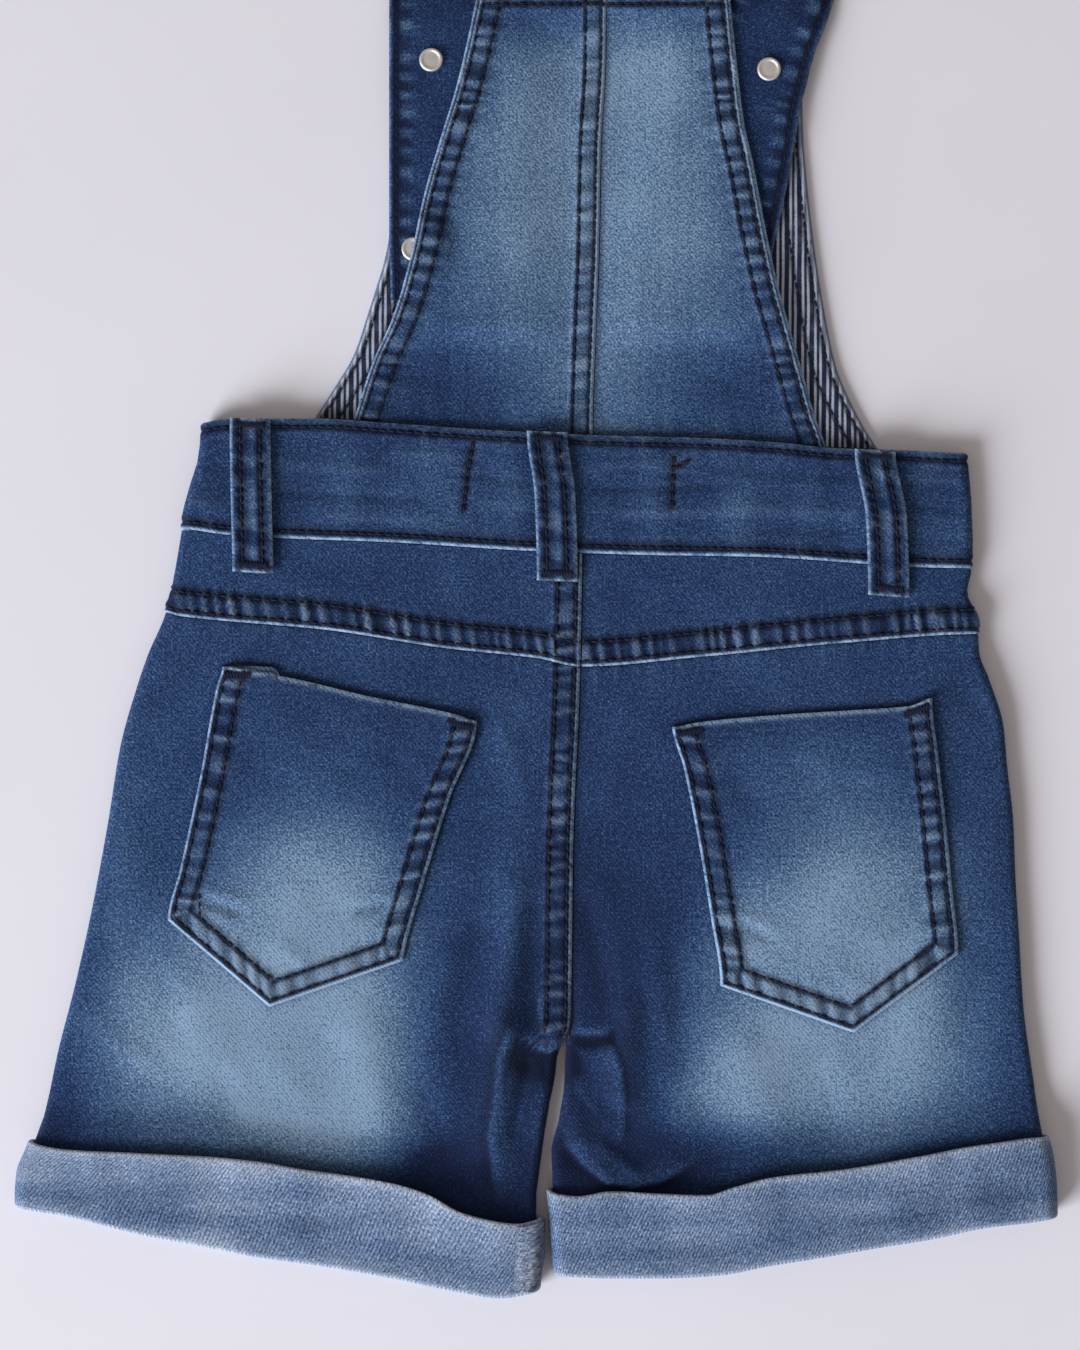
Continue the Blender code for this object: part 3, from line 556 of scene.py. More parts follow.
@dataclass
class Panel:
    """Cut piece of cloth between two side edges, a foot and a head.

    The surface gives the points and the looks of a place, on the face or on the inner side.
    """

    name: str
    left: Level
    right: Level
    foot: Level
    head: Level
    columns: Array
    rows: Array
    surface: Callable[[Array, Array, bool], Surface]
    both_faces: bool = False

    def settle(self, columns: Array, rows: Array) -> tuple[Array, Array]:
        """Place where grid lines cross between the slanting edges.

        Args:
            columns: Share and shift of the lines that run up the piece, one row for each place.
            rows: Share and shift of the lines that run across it.

        Returns:
            Across and up of each place.
        """
        across = np.zeros(len(columns))
        up = np.zeros(len(columns))
        for _ in range(SETTLE_ROUNDS):
            foot, head = self.foot(across), self.head(across)
            up = foot * (1.0 - rows[:, 0]) + head * rows[:, 0] + rows[:, 1]
            left, right = self.left(up), self.right(up)
            across = left * (1.0 - columns[:, 0]) + right * columns[:, 0] + columns[:, 1]
        return across, up

    def build(self, material: bpy.types.Material) -> bpy.types.Object:
        """Make the piece as one closed wall over its grid.

        Args:
            material: Finish of the cloth.

        Returns:
            The new object, with its looks written on its vertices.
        """
        shell, column, row, inner = wall_grid(len(self.columns), len(self.rows))
        across, up = self.settle(self.columns[column], self.rows[row])
        face, back = self.surface(across, up, False), self.surface(across, up, True)
        looks = Surface(
            np.where(inner[:, None], back.points, face.points),
            np.where(inner, back.wash, face.wash),
            np.where(inner, back.worn, face.worn),
            np.where(inner, back.dark, face.dark),
        )
        place_vertices(shell, looks.points)
        close_mesh(shell)
        piece = add_object(self.name, shell, material)
        inside = np.zeros(len(inner)) if self.both_faces else inner.astype(float)
        dress_cloth(piece, np.stack((across, up), axis=1), inside, looks)
        return piece

    def path(self, start: Array, end: Array, steps: int = 240, inner: bool = False) -> Array:
        """Points on the surface from one crossing of grid lines to another.

        Args:
            start: Share and shift of the column, then of the row, where the path starts.
            end: The same four numbers where it ends.
            steps: Number of steps along the path.
            inner: Whether the path lies on the inner side.

        Returns:
            Rows of across, up and height in millimetres.
        """
        shares = np.linspace(0.0, 1.0, steps + 1)[:, None]
        lines = np.asarray(start, float) * (1.0 - shares) + np.asarray(end, float) * shares
        across, up = self.settle(lines[:, :2], lines[:, 2:])
        return self.surface(across, up, inner).points

    def cut(self) -> tuple[float, float, float]:
        """Size of the flat cut that shows.

        Returns:
            Its width and length in metres, and its area in square metres.
        """
        count = (len(self.columns), len(self.rows))
        columns = np.tile(self.columns, (count[1], 1))
        rows = np.repeat(self.rows, count[0], axis=0)
        across, up = (place.reshape(count[1], count[0]) for place in self.settle(columns, rows))
        wide = np.diff(across, axis=1)
        wide = (wide[:-1] + wide[1:]) / 2.0
        tall = np.diff(up, axis=0)
        tall = (tall[:, :-1] + tall[:, 1:]) / 2.0
        scale = METRES_PER_MM
        return np.ptp(across) * scale, np.ptp(up) * scale, float((wide * tall).sum()) * scale**2


def lay_panel(
    panel: Panel, material: bpy.types.Material,
) -> bpy.types.Object:
    """Build a panel, tie it to its node and log the size of its cut.

    Args:
        panel: The panel.
        material: Finish of its cloth.

    Returns:
        The new piece.
    """
    piece = register(panel.build(material), panel.name.removesuffix("_cloth"))
    width, length, area = panel.cut()
    log.info("%s: cut %.0f by %.0f mm, %.0f square cm", piece.name, width * 1000.0,
             length * 1000.0, area * 10000.0)
    return piece


@dataclass
class Sewing:
    """Thread of one sub-assembly: every stitch is a small rounded capsule, sunk in the cloth."""

    name: str
    length: float = 2.6
    gap: float = 0.42
    thickness: float = 0.74
    sunk: float = 0.08
    tack_thickness: float = 0.56
    builder: bmesh.types.BMesh = field(default_factory=bmesh.new)
    count: int = 0

    def stitch(self, middle: Array, along: Array, length: float, thickness: float) -> None:
        """Add one stitch.

        Args:
            middle: Its middle in garment millimetres.
            along: Its direction.
            length: Its length in millimetres.
            thickness: Its thickness in millimetres.
        """
        turn = Vector(along).to_track_quat("X", "Z").to_matrix().to_4x4()
        size = Matrix.Diagonal((length * 0.5, thickness * 0.5, thickness * STITCH_RISE, 1.0))
        place = Matrix.Translation(to_frame(np.array([middle]))[0])
        scale = Matrix.Scale(METRES_PER_MM, 4)
        bmesh.ops.create_uvsphere(
            self.builder, u_segments=6, v_segments=5, radius=1.0,
            matrix=place @ turn @ scale @ size,
        )
        self.count += 1

    def join(self, start: Array, end: Array) -> None:
        """Add one stitch from one point to another."""
        line = np.subtract(end, start)
        self.stitch(np.add(start, end) / 2.0, line, float(np.linalg.norm(line)), self.thickness)

    def run(self, points: Array, facing: float = 1.0) -> None:
        """Add a row of stitches along points on the cloth.

        Args:
            points: Rows of across, up and height in millimetres.
            facing: 1 where the row is seen from above and -1 from below.
        """
        points = np.array(points, float)
        rise = self.thickness * STITCH_RISE
        points[:, 2] += facing * (rise - self.sunk)
        points[:, 2] = np.maximum(points[:, 2], rise + 0.02)
        along = distance_along(points)
        pitch = self.length + self.gap
        number = max(int((along[-1] + self.gap) // pitch), 1)
        pitch = (along[-1] + self.gap) / number
        for index in range(number):
            start = index * pitch
            stops = np.array((start, start + pitch - self.gap))
            ends = np.stack([np.interp(stops, along, points[:, axis]) for axis in range(3)], axis=1)
            self.join(ends[0], ends[1])

    def tack(self, start: Array, end: Array, width: float = 2.2, spacing: float = 0.5) -> None:
        """Add a bar tack: short stitches side by side from one point to another.

        Args:
            start: First end, in garment millimetres.
            end: Other end.
            width: Length of each short stitch.
            spacing: Distance between them.
        """
        start, end = np.array(start, float), np.array(end, float)
        line = end - start
        number = max(int(np.linalg.norm(line) // spacing), 2)
        side = np.array((-line[1], line[0], 0.0)) / np.linalg.norm(line[:2])
        for index in range(number + 1):
            middle = start + line * (index / number)
            lean = side + 0.18 * (1.0 if index % 2 else -1.0) * line / np.linalg.norm(line)
            self.stitch(middle, lean, width, self.tack_thickness)

    def build(self, material: bpy.types.Material, slot: Slot = Slot.DENIM) -> bpy.types.Object:
        """Join the stitches into one piece.

        Args:
            material: Finish of the thread.
            slot: Material slot of the record, which is not used.

        Returns:
            The new piece.
        """
        close_mesh(self.builder)
        piece = add_object(self.name, self.builder, material)
        log.info("%s: %d stitches", self.name, self.count)
        return register(piece)


@dataclass(frozen=True)
class Half:
    """Outlines of one half of the body: rows of up and across, or of across and up."""

    side: Side
    inward: float
    outer: Edge
    inner: Edge
    cuff_bottom: Edge
    cuff_top: Edge
    cuff_stand: Edge


LEFT_HALF = Half(
    Side.LEFT,
    1.0,
    Edge((
        (20, -184.5), (34, -186.8), (43, -186.2), (52, -182.8), (59, -180.0), (86, -174.0),
        (107, -168.6), (133, -162.8), (163, -157.2), (190, -152.8), (212, -146.6),
        (222, -143.1), (236, -137.2), (264, -131.7), (269, -131.0), (281, -127.9),
        (289, -125.5), (300, -124.5),
    )),
    Edge((
        (0, -10.0), (8, -9.5), (16, -8.3), (28, -9.4), (33, -9.3), (50, -7.2), (62, -5.5),
        (77, -2.6), (84, -1.8), (88, 0.3), (92, 2.0), (98, 2.7), (117, 3.0), (151, 3.4),
        (174, 4.1), (197, 5.2), (217, 5.9), (262, 6.6),
    )),
    Edge((
        (-189, 31.5), (-182, 30.3), (-171, 28.6), (-145, 22.1), (-125, 18.3), (-105, 14.5),
        (-83, 11.4), (-59, 7.2), (-34, 2.1), (-22, 0.3), (-11, 2.1), (-7, 4.0),
    )),
    Edge((
        (-189, 53.5), (-183, 54.4), (-179, 52.8), (-170, 51.4), (-145, 50.3), (-125, 49.3),
        (-108, 47.9), (-89, 44.8), (-59, 40.3), (-46, 36.2), (-35, 30.3), (-25, 27.6),
        (-15, 26.2), (-7, 27.9),
    )),
    Edge(((-186, 0.6), (-150, 1.4), (-90, 1.6), (-50, 3.0), (-25, 3.4), (-9, 0.8))),
)
RIGHT_HALF = Half(
    Side.RIGHT,
    -1.0,
    Edge((
        (20, 167.5), (29, 168.3), (39, 168.0), (48, 167.0), (58, 164.8), (75, 162.4),
        (100, 159.0), (123, 157.6), (146, 156.2), (164, 155.5), (183, 153.4), (197, 152.1),
        (213, 147.2), (222, 143.8), (232, 143.0), (238, 141.4), (243, 139.6), (251, 141.0),
        (275, 140.2), (291, 139.2),
    )),
    Edge((
        (0, -1.2), (8, -1.3), (13, -1.8), (26, -2.8), (38, -3.5), (50, -4.0), (61, -1.4),
        (72, 0.3), (84, 0.9), (88, 1.6), (92, 2.8), (98, 3.4), (117, 3.6), (151, 3.9),
        (174, 4.6), (197, 5.7), (217, 6.4), (262, 7.1),
    )),
    Edge((
        (-6, 8.2), (-2, 7.9), (16, 7.2), (34, 7.2), (54, 8.3), (71, 11.4), (90, 14.5),
        (108, 17.6), (127, 20.7), (145, 24.5), (168, 27.6), (171, 29.3),
    )),
    Edge((
        (-6, 38.4), (-1, 36.2), (5, 35.5), (16, 37.2), (34, 36.6), (49, 36.2), (59, 39.0),
        (71, 42.1), (96, 44.8), (121, 49.0), (145, 53.4), (165, 55.6), (171, 55.0),
    )),
    Edge(((-5, 0.8), (15, 1.6), (40, 3.2), (68, 2.8), (110, 1.6), (150, 1.4), (168, 0.6))),
)
HALVES = (LEFT_HALF, RIGHT_HALF)

# Edges that cross the garment, rows of across and up
YOKE_EDGE = Edge((
    (-138, 236.2), (-132, 234.8), (-81, 230.0), (-41, 223.8), (-9, 220.3), (6, 217.4),
    (47, 220.7), (96, 225.5), (143, 228.6),
))
BAND_BOTTOM = Edge((
    (-132, 264.8), (-116, 262.8), (-99, 261.7), (-61, 260.3), (-10, 257.2), (27, 255.9),
    (67, 255.2), (104, 252.8), (120, 251.7), (141, 251.3),
))
BAND_TOP = Edge((
    (-125, 301.4), (-117, 302.6), (-102, 302.8), (-84, 302.8), (-61, 301.4), (-31, 299.3),
    (-13, 298.3), (10, 297.2), (47, 296.2), (72, 294.8), (95, 292.6), (115, 292.0),
    (139, 291.0),
))

# Creases of the back: the largest first, then the small ones round them
BACK_CREASES = (
    Crease((-16, 140), (-21, 94), 6.0, 1.6),
    Crease((-21, 94), (-25, 53), 6.0, 1.8),
    Crease((-10, 134), (-12, 94), 4.5, -1.2),
    Crease((8, 134), (17, 96), 5.0, -1.0),
    Crease((21, 98), (21, 70), 6.0, 1.5),
    Crease((3, 60), (14, 44), 5.0, 1.0),
    Crease((-150, 150), (-120, 85), 12.0, 0.8),
    Crease((140, 150), (120, 80), 12.0, 0.8),
    Crease((-70, 92), (-60, 56), 9.0, 0.9),
    Crease((62, 86), (74, 56), 9.0, 0.9),
    Crease((14, 52), (24, 44), 2.6, 0.9),
    Crease((10, 70), (19, 64), 3.0, -0.6),
    Crease((-12, 80), (-17, 58), 2.2, -0.7),
    Crease((-30, 128), (-36, 88), 5.0, -0.5),
    Crease((-40, 118), (-47, 84), 4.2, 0.45),
    Crease((30, 126), (34, 92), 4.5, 0.5),
    Crease((38, 118), (42, 78), 4.0, -0.45),
    Crease((-146, 128), (-134, 96), 5.0, -0.45),
    Crease((-160, 92), (-140, 80), 4.5, 0.4),
    Crease((146, 120), (136, 92), 5.0, -0.4),
    Crease((152, 96), (138, 84), 4.5, 0.4),
    Crease((-100, 84), (-88, 66), 6.0, 0.4),
    Crease((-118, 76), (-112, 58), 5.0, -0.35),
    Crease((96, 82), (104, 62), 6.0, 0.4),
    Crease((46, 66), (52, 50), 4.0, -0.4),
    Crease((-48, 70), (-42, 52), 4.0, -0.4),
    Crease((-24, 206), (-14, 176), 3.6, 0.35),
    Crease((22, 204), (16, 172), 3.4, 0.35),
    Crease((-140, 206), (-126, 222), 4.0, -0.4),
    Crease((132, 212), (146, 200), 4.0, -0.4),
    Crease((-60, 238), (-44, 234), 4.0, 0.3),
    Crease((60, 236), (78, 239), 4.0, 0.3),
    Crease((-96, 246), (-70, 242), 5.0, 0.35),
    Crease((-112, 250), (-96, 256), 3.0, -0.3),
    Crease((98, 246), (116, 240), 4.0, -0.35),
    Crease((30, 246), (52, 243), 4.5, 0.3),
)

# Edges of the folds beside the crotch and above the cuffs
BACK_FOLDS = (
    FoldLine(((-21, 30), (-24.1, 42.4), (-25.6, 56.6), (-23.6, 68.3), (-22.3, 83.4), (-18.6, 93), (-13, 97)),
             9.0, 4.0, 0.8, 0.62),
    FoldLine(((4.5, 89.5), (-0.5, 85.4), (-5.0, 84.4), (-9.0, 85.4), (-12.5, 88.4), (-17.5, 91.5)),
             2.6, 10.0, 0.8, 2.6),
    FoldLine(((18.5, 92.6), (14.5, 90.9), (9.3, 90.0), (0.5, 91.0)), 3.2, 3.6, 0.8, 3.2),
    FoldLine(((-2.4, 86.2), (-6.4, 91.2), (-8.4, 97.5), (-8.9, 108)), 2.2, 2.4, 0.5, 0.85),
    FoldLine(((12.0, 91.5), (17.4, 87.5), (20.4, 80), (21.6, 69), (21.8, 58), (20.0, 50)),
             8.0, 4.2, 0.5, 0.50),
    FoldLine(((50, 50), (42, 44.5), (33, 39.6), (24, 37.8), (15, 39.8), (6.5, 46.5), (1.0, 53), (-1.0, 62)),
             7.0, 4.6, 0.9, 0.85),
    FoldLine(((-8.0, 83), (-6.0, 74), (-8.0, 62), (-9.0, 50)), 3.0, 3.2, 0.3, 0.25),
    FoldLine(((13, 62), (6, 70), (0.5, 79)), 4.0, 4.0, 0.3, 0.22),
)

# Creases of the front, which is hidden below: they lift the cloth off the surface
FRONT_CREASES = (
    Crease((-20, 150), (-30, 100), 7.0, 1.0),
    Crease((18, 148), (26, 96), 7.0, 0.9),
    Crease((-90, 120), (-70, 60), 9.0, 0.8),
    Crease((80, 128), (66, 62), 9.0, 0.8),
    Crease((-140, 180), (-112, 150), 8.0, 0.8),
    Crease((130, 190), (100, 158), 8.0, 0.7),
    Crease((-60, 230), (-24, 216), 6.0, 0.7),
    Crease((44, 224), (88, 232), 6.0, 0.6),
    Crease((-110, 90), (-120, 66), 5.0, 0.5),
    Crease((118, 104), (126, 70), 5.0, 0.5),
    Crease((-44, 96), (-50, 66), 4.0, 0.6),
    Crease((40, 92), (46, 64), 4.0, 0.6),
)

# Patches of the legs and pockets that the wash has faded, and those it has left dark, with three dark
# patches of painted shadow just above the cuffs
BODY_WASH = 0.30
BODY_FADES_AND_SHADOWS = (
    TonePatch(-112, 86, 56, 34, 0.62, -6),
    TonePatch(-84, 138, 34, 31, 0.60, -10),
    TonePatch(-138, 112, 30, 40, 0.12),
    TonePatch(-164, 100, 12, 34, -0.16, 12),
    TonePatch(-22, 158, 14, 24, -0.10),
    TonePatch(-60, 92, 26, 40, 0.14, 8),
    TonePatch(94, 76, 48, 30, 0.60, 4),
    TonePatch(100, 136, 34, 32, 0.60, 8),
    TonePatch(66, 104, 26, 30, 0.30),
    TonePatch(136, 92, 22, 34, 0.10),
    TonePatch(-28, 62, 30, 62, -0.30, 8),
    TonePatch(20, 118, 26, 60, -0.20),
    # Painted shadow just above the cuffs, in the next two patches
    TonePatch(40, 48, 44, 12, -0.40, 4),
    TonePatch(-36, 42, 26, 10, -0.30, -14),
    TonePatch(-82, 86, 30, 36, 0.36),
    TonePatch(-74, 60, 34, 15, 0.26, -8),
    TonePatch(-124, 130, 12, 12, 0.26),
    TonePatch(118, 106, 16, 22, 0.26),
    TonePatch(52, 62, 16, 22, 0.18),
    TonePatch(62, 128, 12, 16, 0.24),
    TonePatch(86, 180, 30, 18, 0.13),
    # Painted shadow just above the right cuff
    TonePatch(128, 50, 24, 6, -0.22, 8),
    TonePatch(8, 70, 14, 26, -0.10),
    TonePatch(-176, 66, 13, 30, -0.22, 14),
    TonePatch(156, 62, 12, 50, -0.14),
    TonePatch(-152, 170, 10, 50, 0.10, -8),
    TonePatch(-20, 150, 9, 46, 0.10),
    TonePatch(8, 78, 10, 14, 0.10),
    TonePatch(20, 74, 12, 26, -0.16),
    TonePatch(-8, 60, 6, 30, 0.08),
)


@dataclass(frozen=True)
class BodyForm:
    """Flattened tubes of the hips, legs and waist, with the creases of their cloth."""

    half_height: float = 2.9
    crotch_closed: float = 84.0
    crotch_open: float = 114.0
    crotch_blend: float = 12.0
    cuff_rise: float = CUFF_WALL + CUFF_GAP
    cuff_ease: float = 16.0
    fold_fade: float = 8.0
    unevenness: float = 0.22

    def edges(self, half: Half, up: Array, back: bool) -> tuple[Array, Array]:
        """Outer and inner edge of one half of the body.

        Args:
            half: The half.
            up: Levels.
            back: Whether it is the back of the garment.

        Returns:
            Across of the outer edge and of the inner edge at each level.
        """
        inner = half.inner(up)
        if not back:
            middle = -half.inward * SEAM_GAP / 2.0
            share = smooth_share(self.crotch_closed, self.crotch_closed + self.crotch_blend, up)
            inner = inner * (1.0 - share) + middle * share
        return half.outer(up), inner

    def bulge(self, inset: Array) -> Array:
        """Share of the full height reached at an inset from a rounded side."""
        reach = 1.0 - np.clip(inset, 0.0, self.half_height) / self.half_height
        return np.sqrt(np.maximum(1.0 - reach * reach, 0.0))

    def rounds(self, steps: float, count: int) -> list[float]:
        """Insets of grid lines round a side, at even steps of a half turn."""
        return [self.half_height * (1.0 - math.cos(math.pi / steps * number)) for number in range(count)]

    def creases(self, across: Array, up: Array, back: bool) -> Array:
        """Height of all creases and of the small unevenness of the cloth.

        Args:
            across: Places across the garment.
            up: Places up the garment.
            back: Whether it is the back of the garment.

        Returns:
            The heights in millimetres.
        """
        total = sum(crease.rise(across, up) for crease in (BACK_CREASES if back else FRONT_CREASES))
        if not back:
            return total
        for fold in BACK_FOLDS:
            lit, _, shade = fold.sides(across, up)
            total = total + fold.height * (lit - 0.6 * shade)
        total = total + self.unevenness * uneven_field(across, up, 17.0, 11)
        return total + 0.5 * self.unevenness * uneven_field(across, up, 7.0, 12)

    def point(
        self, half: Half, across: Array, up: Array, out: Array | float, back: bool,
        whole_width: bool = False,
    ) -> Array:
        """Points of one half of the body, moved out from its skin.

        Args:
            half: The half.
            across: Places across the garment.
            up: Places up the garment.
            out: Distance out from the skin.
            back: Whether it is the back of the garment.
            whole_width: Whether the tube runs on past the inner edge, as the waist does.

        Returns:
            Rows of across, up and height in millimetres.
        """
        outer, inner = self.edges(half, up, back)
        inset = (across - outer) * half.inward
        closed = 1.0 - smooth_share(self.crotch_closed, self.crotch_open, up)
        if whole_width:
            closed = np.zeros_like(closed)
        inner_inset = (inner - across) * half.inward
        lift = np.minimum(self.bulge(inset), 1.0 - closed * (1.0 - self.bulge(inner_inset)))
        top = half.cuff_top(across)
        eased = 1.0 - smooth_share(0.0, self.cuff_ease - 0.8, up - top - 0.8)
        level = self.half_height + self.cuff_rise * eased
        reach = (self.half_height + out) * lift
        folds = self.creases(across, up, back) * smooth_share(0.0, self.fold_fade, inset)
        folds = folds * (1.0 - closed * (1.0 - smooth_share(0.0, self.fold_fade, inner_inset)))
        near_outer = np.maximum(1.0 - np.maximum(inset, 0.0) / self.half_height, 0.0)
        near_inner = np.maximum(1.0 - np.maximum(inner_inset, 0.0) / self.half_height, 0.0)
        shifted = across - half.inward * out * near_outer + half.inward * closed * out * near_inner
        height = level + SEAM_GAP + reach + folds if back else level - reach + folds
        return np.stack((shifted, up, height), axis=1)

    def wash(self, across: Array, up: Array) -> Array:
        """Share of the dye that the wash has taken from the body, less the painted shadow just above the
        cuffs.

        Args:
            across: Places across the garment.
            up: Places up the garment.

        Returns:
            The shares, from 0 to 1.
        """
        # The patches include the painted shadow just above the cuffs
        total = BODY_WASH + sum(tone_patch.share(across, up) for tone_patch in BODY_FADES_AND_SHADOWS)
        total = total + 0.035 * uneven_field(across, up, 22.0, 31)
        return capped(total + 0.03 * uneven_field(across, up, 8.0, 32))

    def fold_marks(self, across: Array, up: Array, back: bool) -> tuple[Array, Array, Array]:
        """Painted highlight on the ridges and lit sides of the folds, and painted shade in the troughs and
        shaded sides.

        Args:
            across: Places across the garment.
            up: Places up the garment.
            back: Whether it is the back of the garment.

        Returns:
            The worn share with painted highlight, the dark share with painted shade, and the painted
            highlight added to the wash.
        """
        height = self.creases(across, up, back)
        # Painted highlight on the crease ridges and painted shade in their troughs
        ridge = 0.05 * capped(height / 1.5)
        trough = 0.42 * capped(-height / 1.4)
        painted_highlight = np.zeros_like(up)
        # Painted highlight on the lit side of each fold and painted shade on its shaded side
        for fold in BACK_FOLDS if back else ():
            lit, rim, shade = fold.sides(across, up)
            painted_highlight = np.maximum(painted_highlight, (0.21 * lit + 0.03 * rim) * (0.45 + min(fold.darkness, 1.0)))
            trough = np.maximum(trough, fold.darkness * shade)
        return ridge, trough, painted_highlight


FORM = BodyForm()

# Sewn edges of the body
FELLED = SewnEdge(rows=(1.9, 8.3), width=9.2, rope=1.25, line=1.0, wave=6.2, seed=41, shadow=1.1)
YOKE_FELL = SewnEdge(rows=(1.9, 8.5), width=9.4, rope=1.35, line=1.15, worn=0.95, wave=5.6,
                     seed=51, shadow=1.3)
REACH = 12.0


@dataclass
class Body:
    """Legs and yokes: two front legs, two back legs and the back yokes above them."""

    cloth: bpy.types.Material
    thread: bpy.types.Material
    hook: float = 1.6
    widest: float = 162.0
    fine_step: float = 0.8
    back_step: float = 1.5
    front_step: float = 3.0
    folded_width: float = 46.0
    folded_length: float = 80.0
    seam_foot: float = 90.5
    front_seam_foot: float = 92.0

    def leg_surface(
        self, half: Half, back: bool, yoke: bool, across: Array, up: Array, inner_side: bool
    ) -> Surface:
        """Surface of a leg or a yoke.

        Args:
            half: Half of the body.
            back: Whether it is on the back.
            yoke: Whether it is the yoke, whose foot is felled over the leg.
            across: Places across the garment.
            up: Places up the garment.
            inner_side: Whether to give the inner side of the cloth instead of its face.

        Returns:
            The points and what the finish shows at them.
        """
        outer, inner = FORM.edges(half, up, back)
        inset = (across - outer) * half.inward
        inner_inset = (inner - across) * half.inward
        height, worn, dark = np.zeros_like(up), np.zeros_like(up), np.zeros_like(up)
        above = smooth_share(FORM.crotch_closed + 1.0, FORM.crotch_closed + 9.0, up)
        if not back:
            above = above * 0.8
        if half.side is Side.LEFT:
            height, worn, dark = (part * above for part in FELLED.relief(inner_inset, up))
        else:
            # Painted shadow of the left half's felled seam on the inner edge of the right half
            dark = 0.55 * hump(inner_inset, 1.6) * above
        if yoke:
            fell = YOKE_FELL.relief(up - YOKE_EDGE(across), across)
            height = np.maximum(height, 0.0) + fell[0]
            worn, dark = np.maximum(worn, fell[1]), np.maximum(dark, fell[2])
        elif back:
            below = YOKE_EDGE(across) - up
            # Painted shade just below the edge of the yoke
            dark = np.maximum(dark, 0.5 * hump(below, 1.3))
            pucker = np.sin(math.tau * (across / 6.5 + uneven_line(across, 11.0, 61)))
            height = height + 0.12 * pucker * hump(below, 5.0)
            worn = worn + 0.10 * capped(pucker) * hump(below, 5.0)
        # Painted highlight and painted shade of the creases and folds, the highlight carried in the wash
        ridge, trough, painted_highlight = FORM.fold_marks(across, up, back)
        # Painted shade in the crease troughs and on the rounded outer side
        dark = np.maximum(dark, trough) + 0.12 * hump(inset, 2.6)
        shut = 1.0 - smooth_share(FORM.crotch_closed, FORM.crotch_open, up)
        # Painted shade on the rounded inner sides below the crotch
        dark = dark + 0.22 * shut * hump(inner_inset, 2.6)
        if back and not yoke:
            # Painted shadow of the cuffs' top edges, and painted shadow round the pockets
            dark = dark + 0.40 * hump(np.maximum(up - half.cuff_top(across), 0.0), 3.6)
            dark = np.maximum(dark, pocket_shade(across, up))
        out = -DENIM_WALL if inner_side else height
        if not back and not inner_side:
            out = np.minimum(height, 0.0)
        points = FORM.point(half, across, up, out, back)
        return Surface(
            points, FORM.wash(across, up) + painted_highlight, capped(worn + ridge),
            capped(dark),
        )

    def columns(self, half: Half, step: float) -> Array:
        """Grid lines of a leg, close together at its rounded side and its seam.

        Args:
            half: Half of the body.
            step: Spacing of the even lines in millimetres.

        Returns:
            Share and shift of each line, from left to right.
        """
        rounds = FORM.rounds(16.0, 8)
        side = rounds + [FORM.half_height, 4.5]
        inner = sorted(set([round(value, 3) for value in rounds[1:6]] + close_insets(FELLED.rows, REACH)))
        folded = self.folded_width if step == self.back_step else REACH
        inner += list(np.arange(REACH + self.fine_step, folded, self.fine_step))
        count = round((self.widest - folded) / step)
        if half.side is Side.LEFT:
            return grid_lines(side, inner, count)
        return grid_lines(inner, side, count)

    def panel(self, half: Half, part: str) -> Panel:
        """One leg or yoke panel.

        Args:
            half: Half of the body.
            part: One of back_leg, front_leg and back_yoke.

        Returns:
            The panel.
        """
        back = part != "front_leg"
        yoke = part == "back_yoke"
        foot = half.cuff_bottom.moved(self.hook + 2.0 * SEAM_GAP)
        band = BAND_BOTTOM.moved(-SEAM_GAP)
        near = list(np.arange(0.0, self.folded_length, self.fine_step)) + [self.folded_length]
        if part == "back_leg":
            head = YOKE_EDGE.moved(-SEAM_GAP)
            rows = grid_lines(near, [0.0, 0.5, 1.0, 1.6, 2.4, 3.4, 4.6, 6.0], 68)
        elif part == "front_leg":
            foot, head = foot.moved(2.0 * SEAM_GAP), band.moved(-2.0 * SEAM_GAP)
            rows = grid_lines([0.0, 10.0, 20.0, 30.0, 40.0, 50.0, 60.0], [0.0, 1.0], 60)
        else:
            foot, head = YOKE_EDGE, band
            rows = grid_lines(close_insets(YOKE_FELL.rows, 14.0), [0.0, 0.6, 1.4], 17)
        step = self.back_step if back else self.front_step
        outer, inner = (0, 1) if half.side is Side.LEFT else (1, 0)
        return Panel(
            f"{part}_{half.side.value}_cloth",
            lambda up: FORM.edges(half, up, back)[outer], lambda up: FORM.edges(half, up, back)[inner],
            foot, head, self.columns(half, step), rows,
            partial(self.leg_surface, half, back, yoke),
        )

    def sew_seams(self, panels: dict[str, Panel], sewing: Sewing, below: Sewing) -> None:
        """Add the stitch rows of the seams in the middle of the back and the front.

        Args:
            panels: Panels of the left half by name, which are felled over the right ones.
            sewing: Sewing of the back.
            below: Sewing of the front.
        """
        for inset in FELLED.rows:
            foot = (1.0, -inset, 0.0, 60.0)
            leg = panels["back_leg"].path(foot, (1.0, -inset, 1.0, -0.4), 400)
            sewing.run(leg[leg[:, 1] > self.seam_foot])
            yoke = panels["back_yoke"].path((1.0, -inset, 0.0, 10.4), (1.0, -inset, 1.0, -0.6), 60)
            sewing.run(yoke)
            front = panels["front_leg"].path(foot, (1.0, -inset, 1.0, -1.0), 400)
            below.run(front[front[:, 1] > self.front_seam_foot], facing=-0.2)

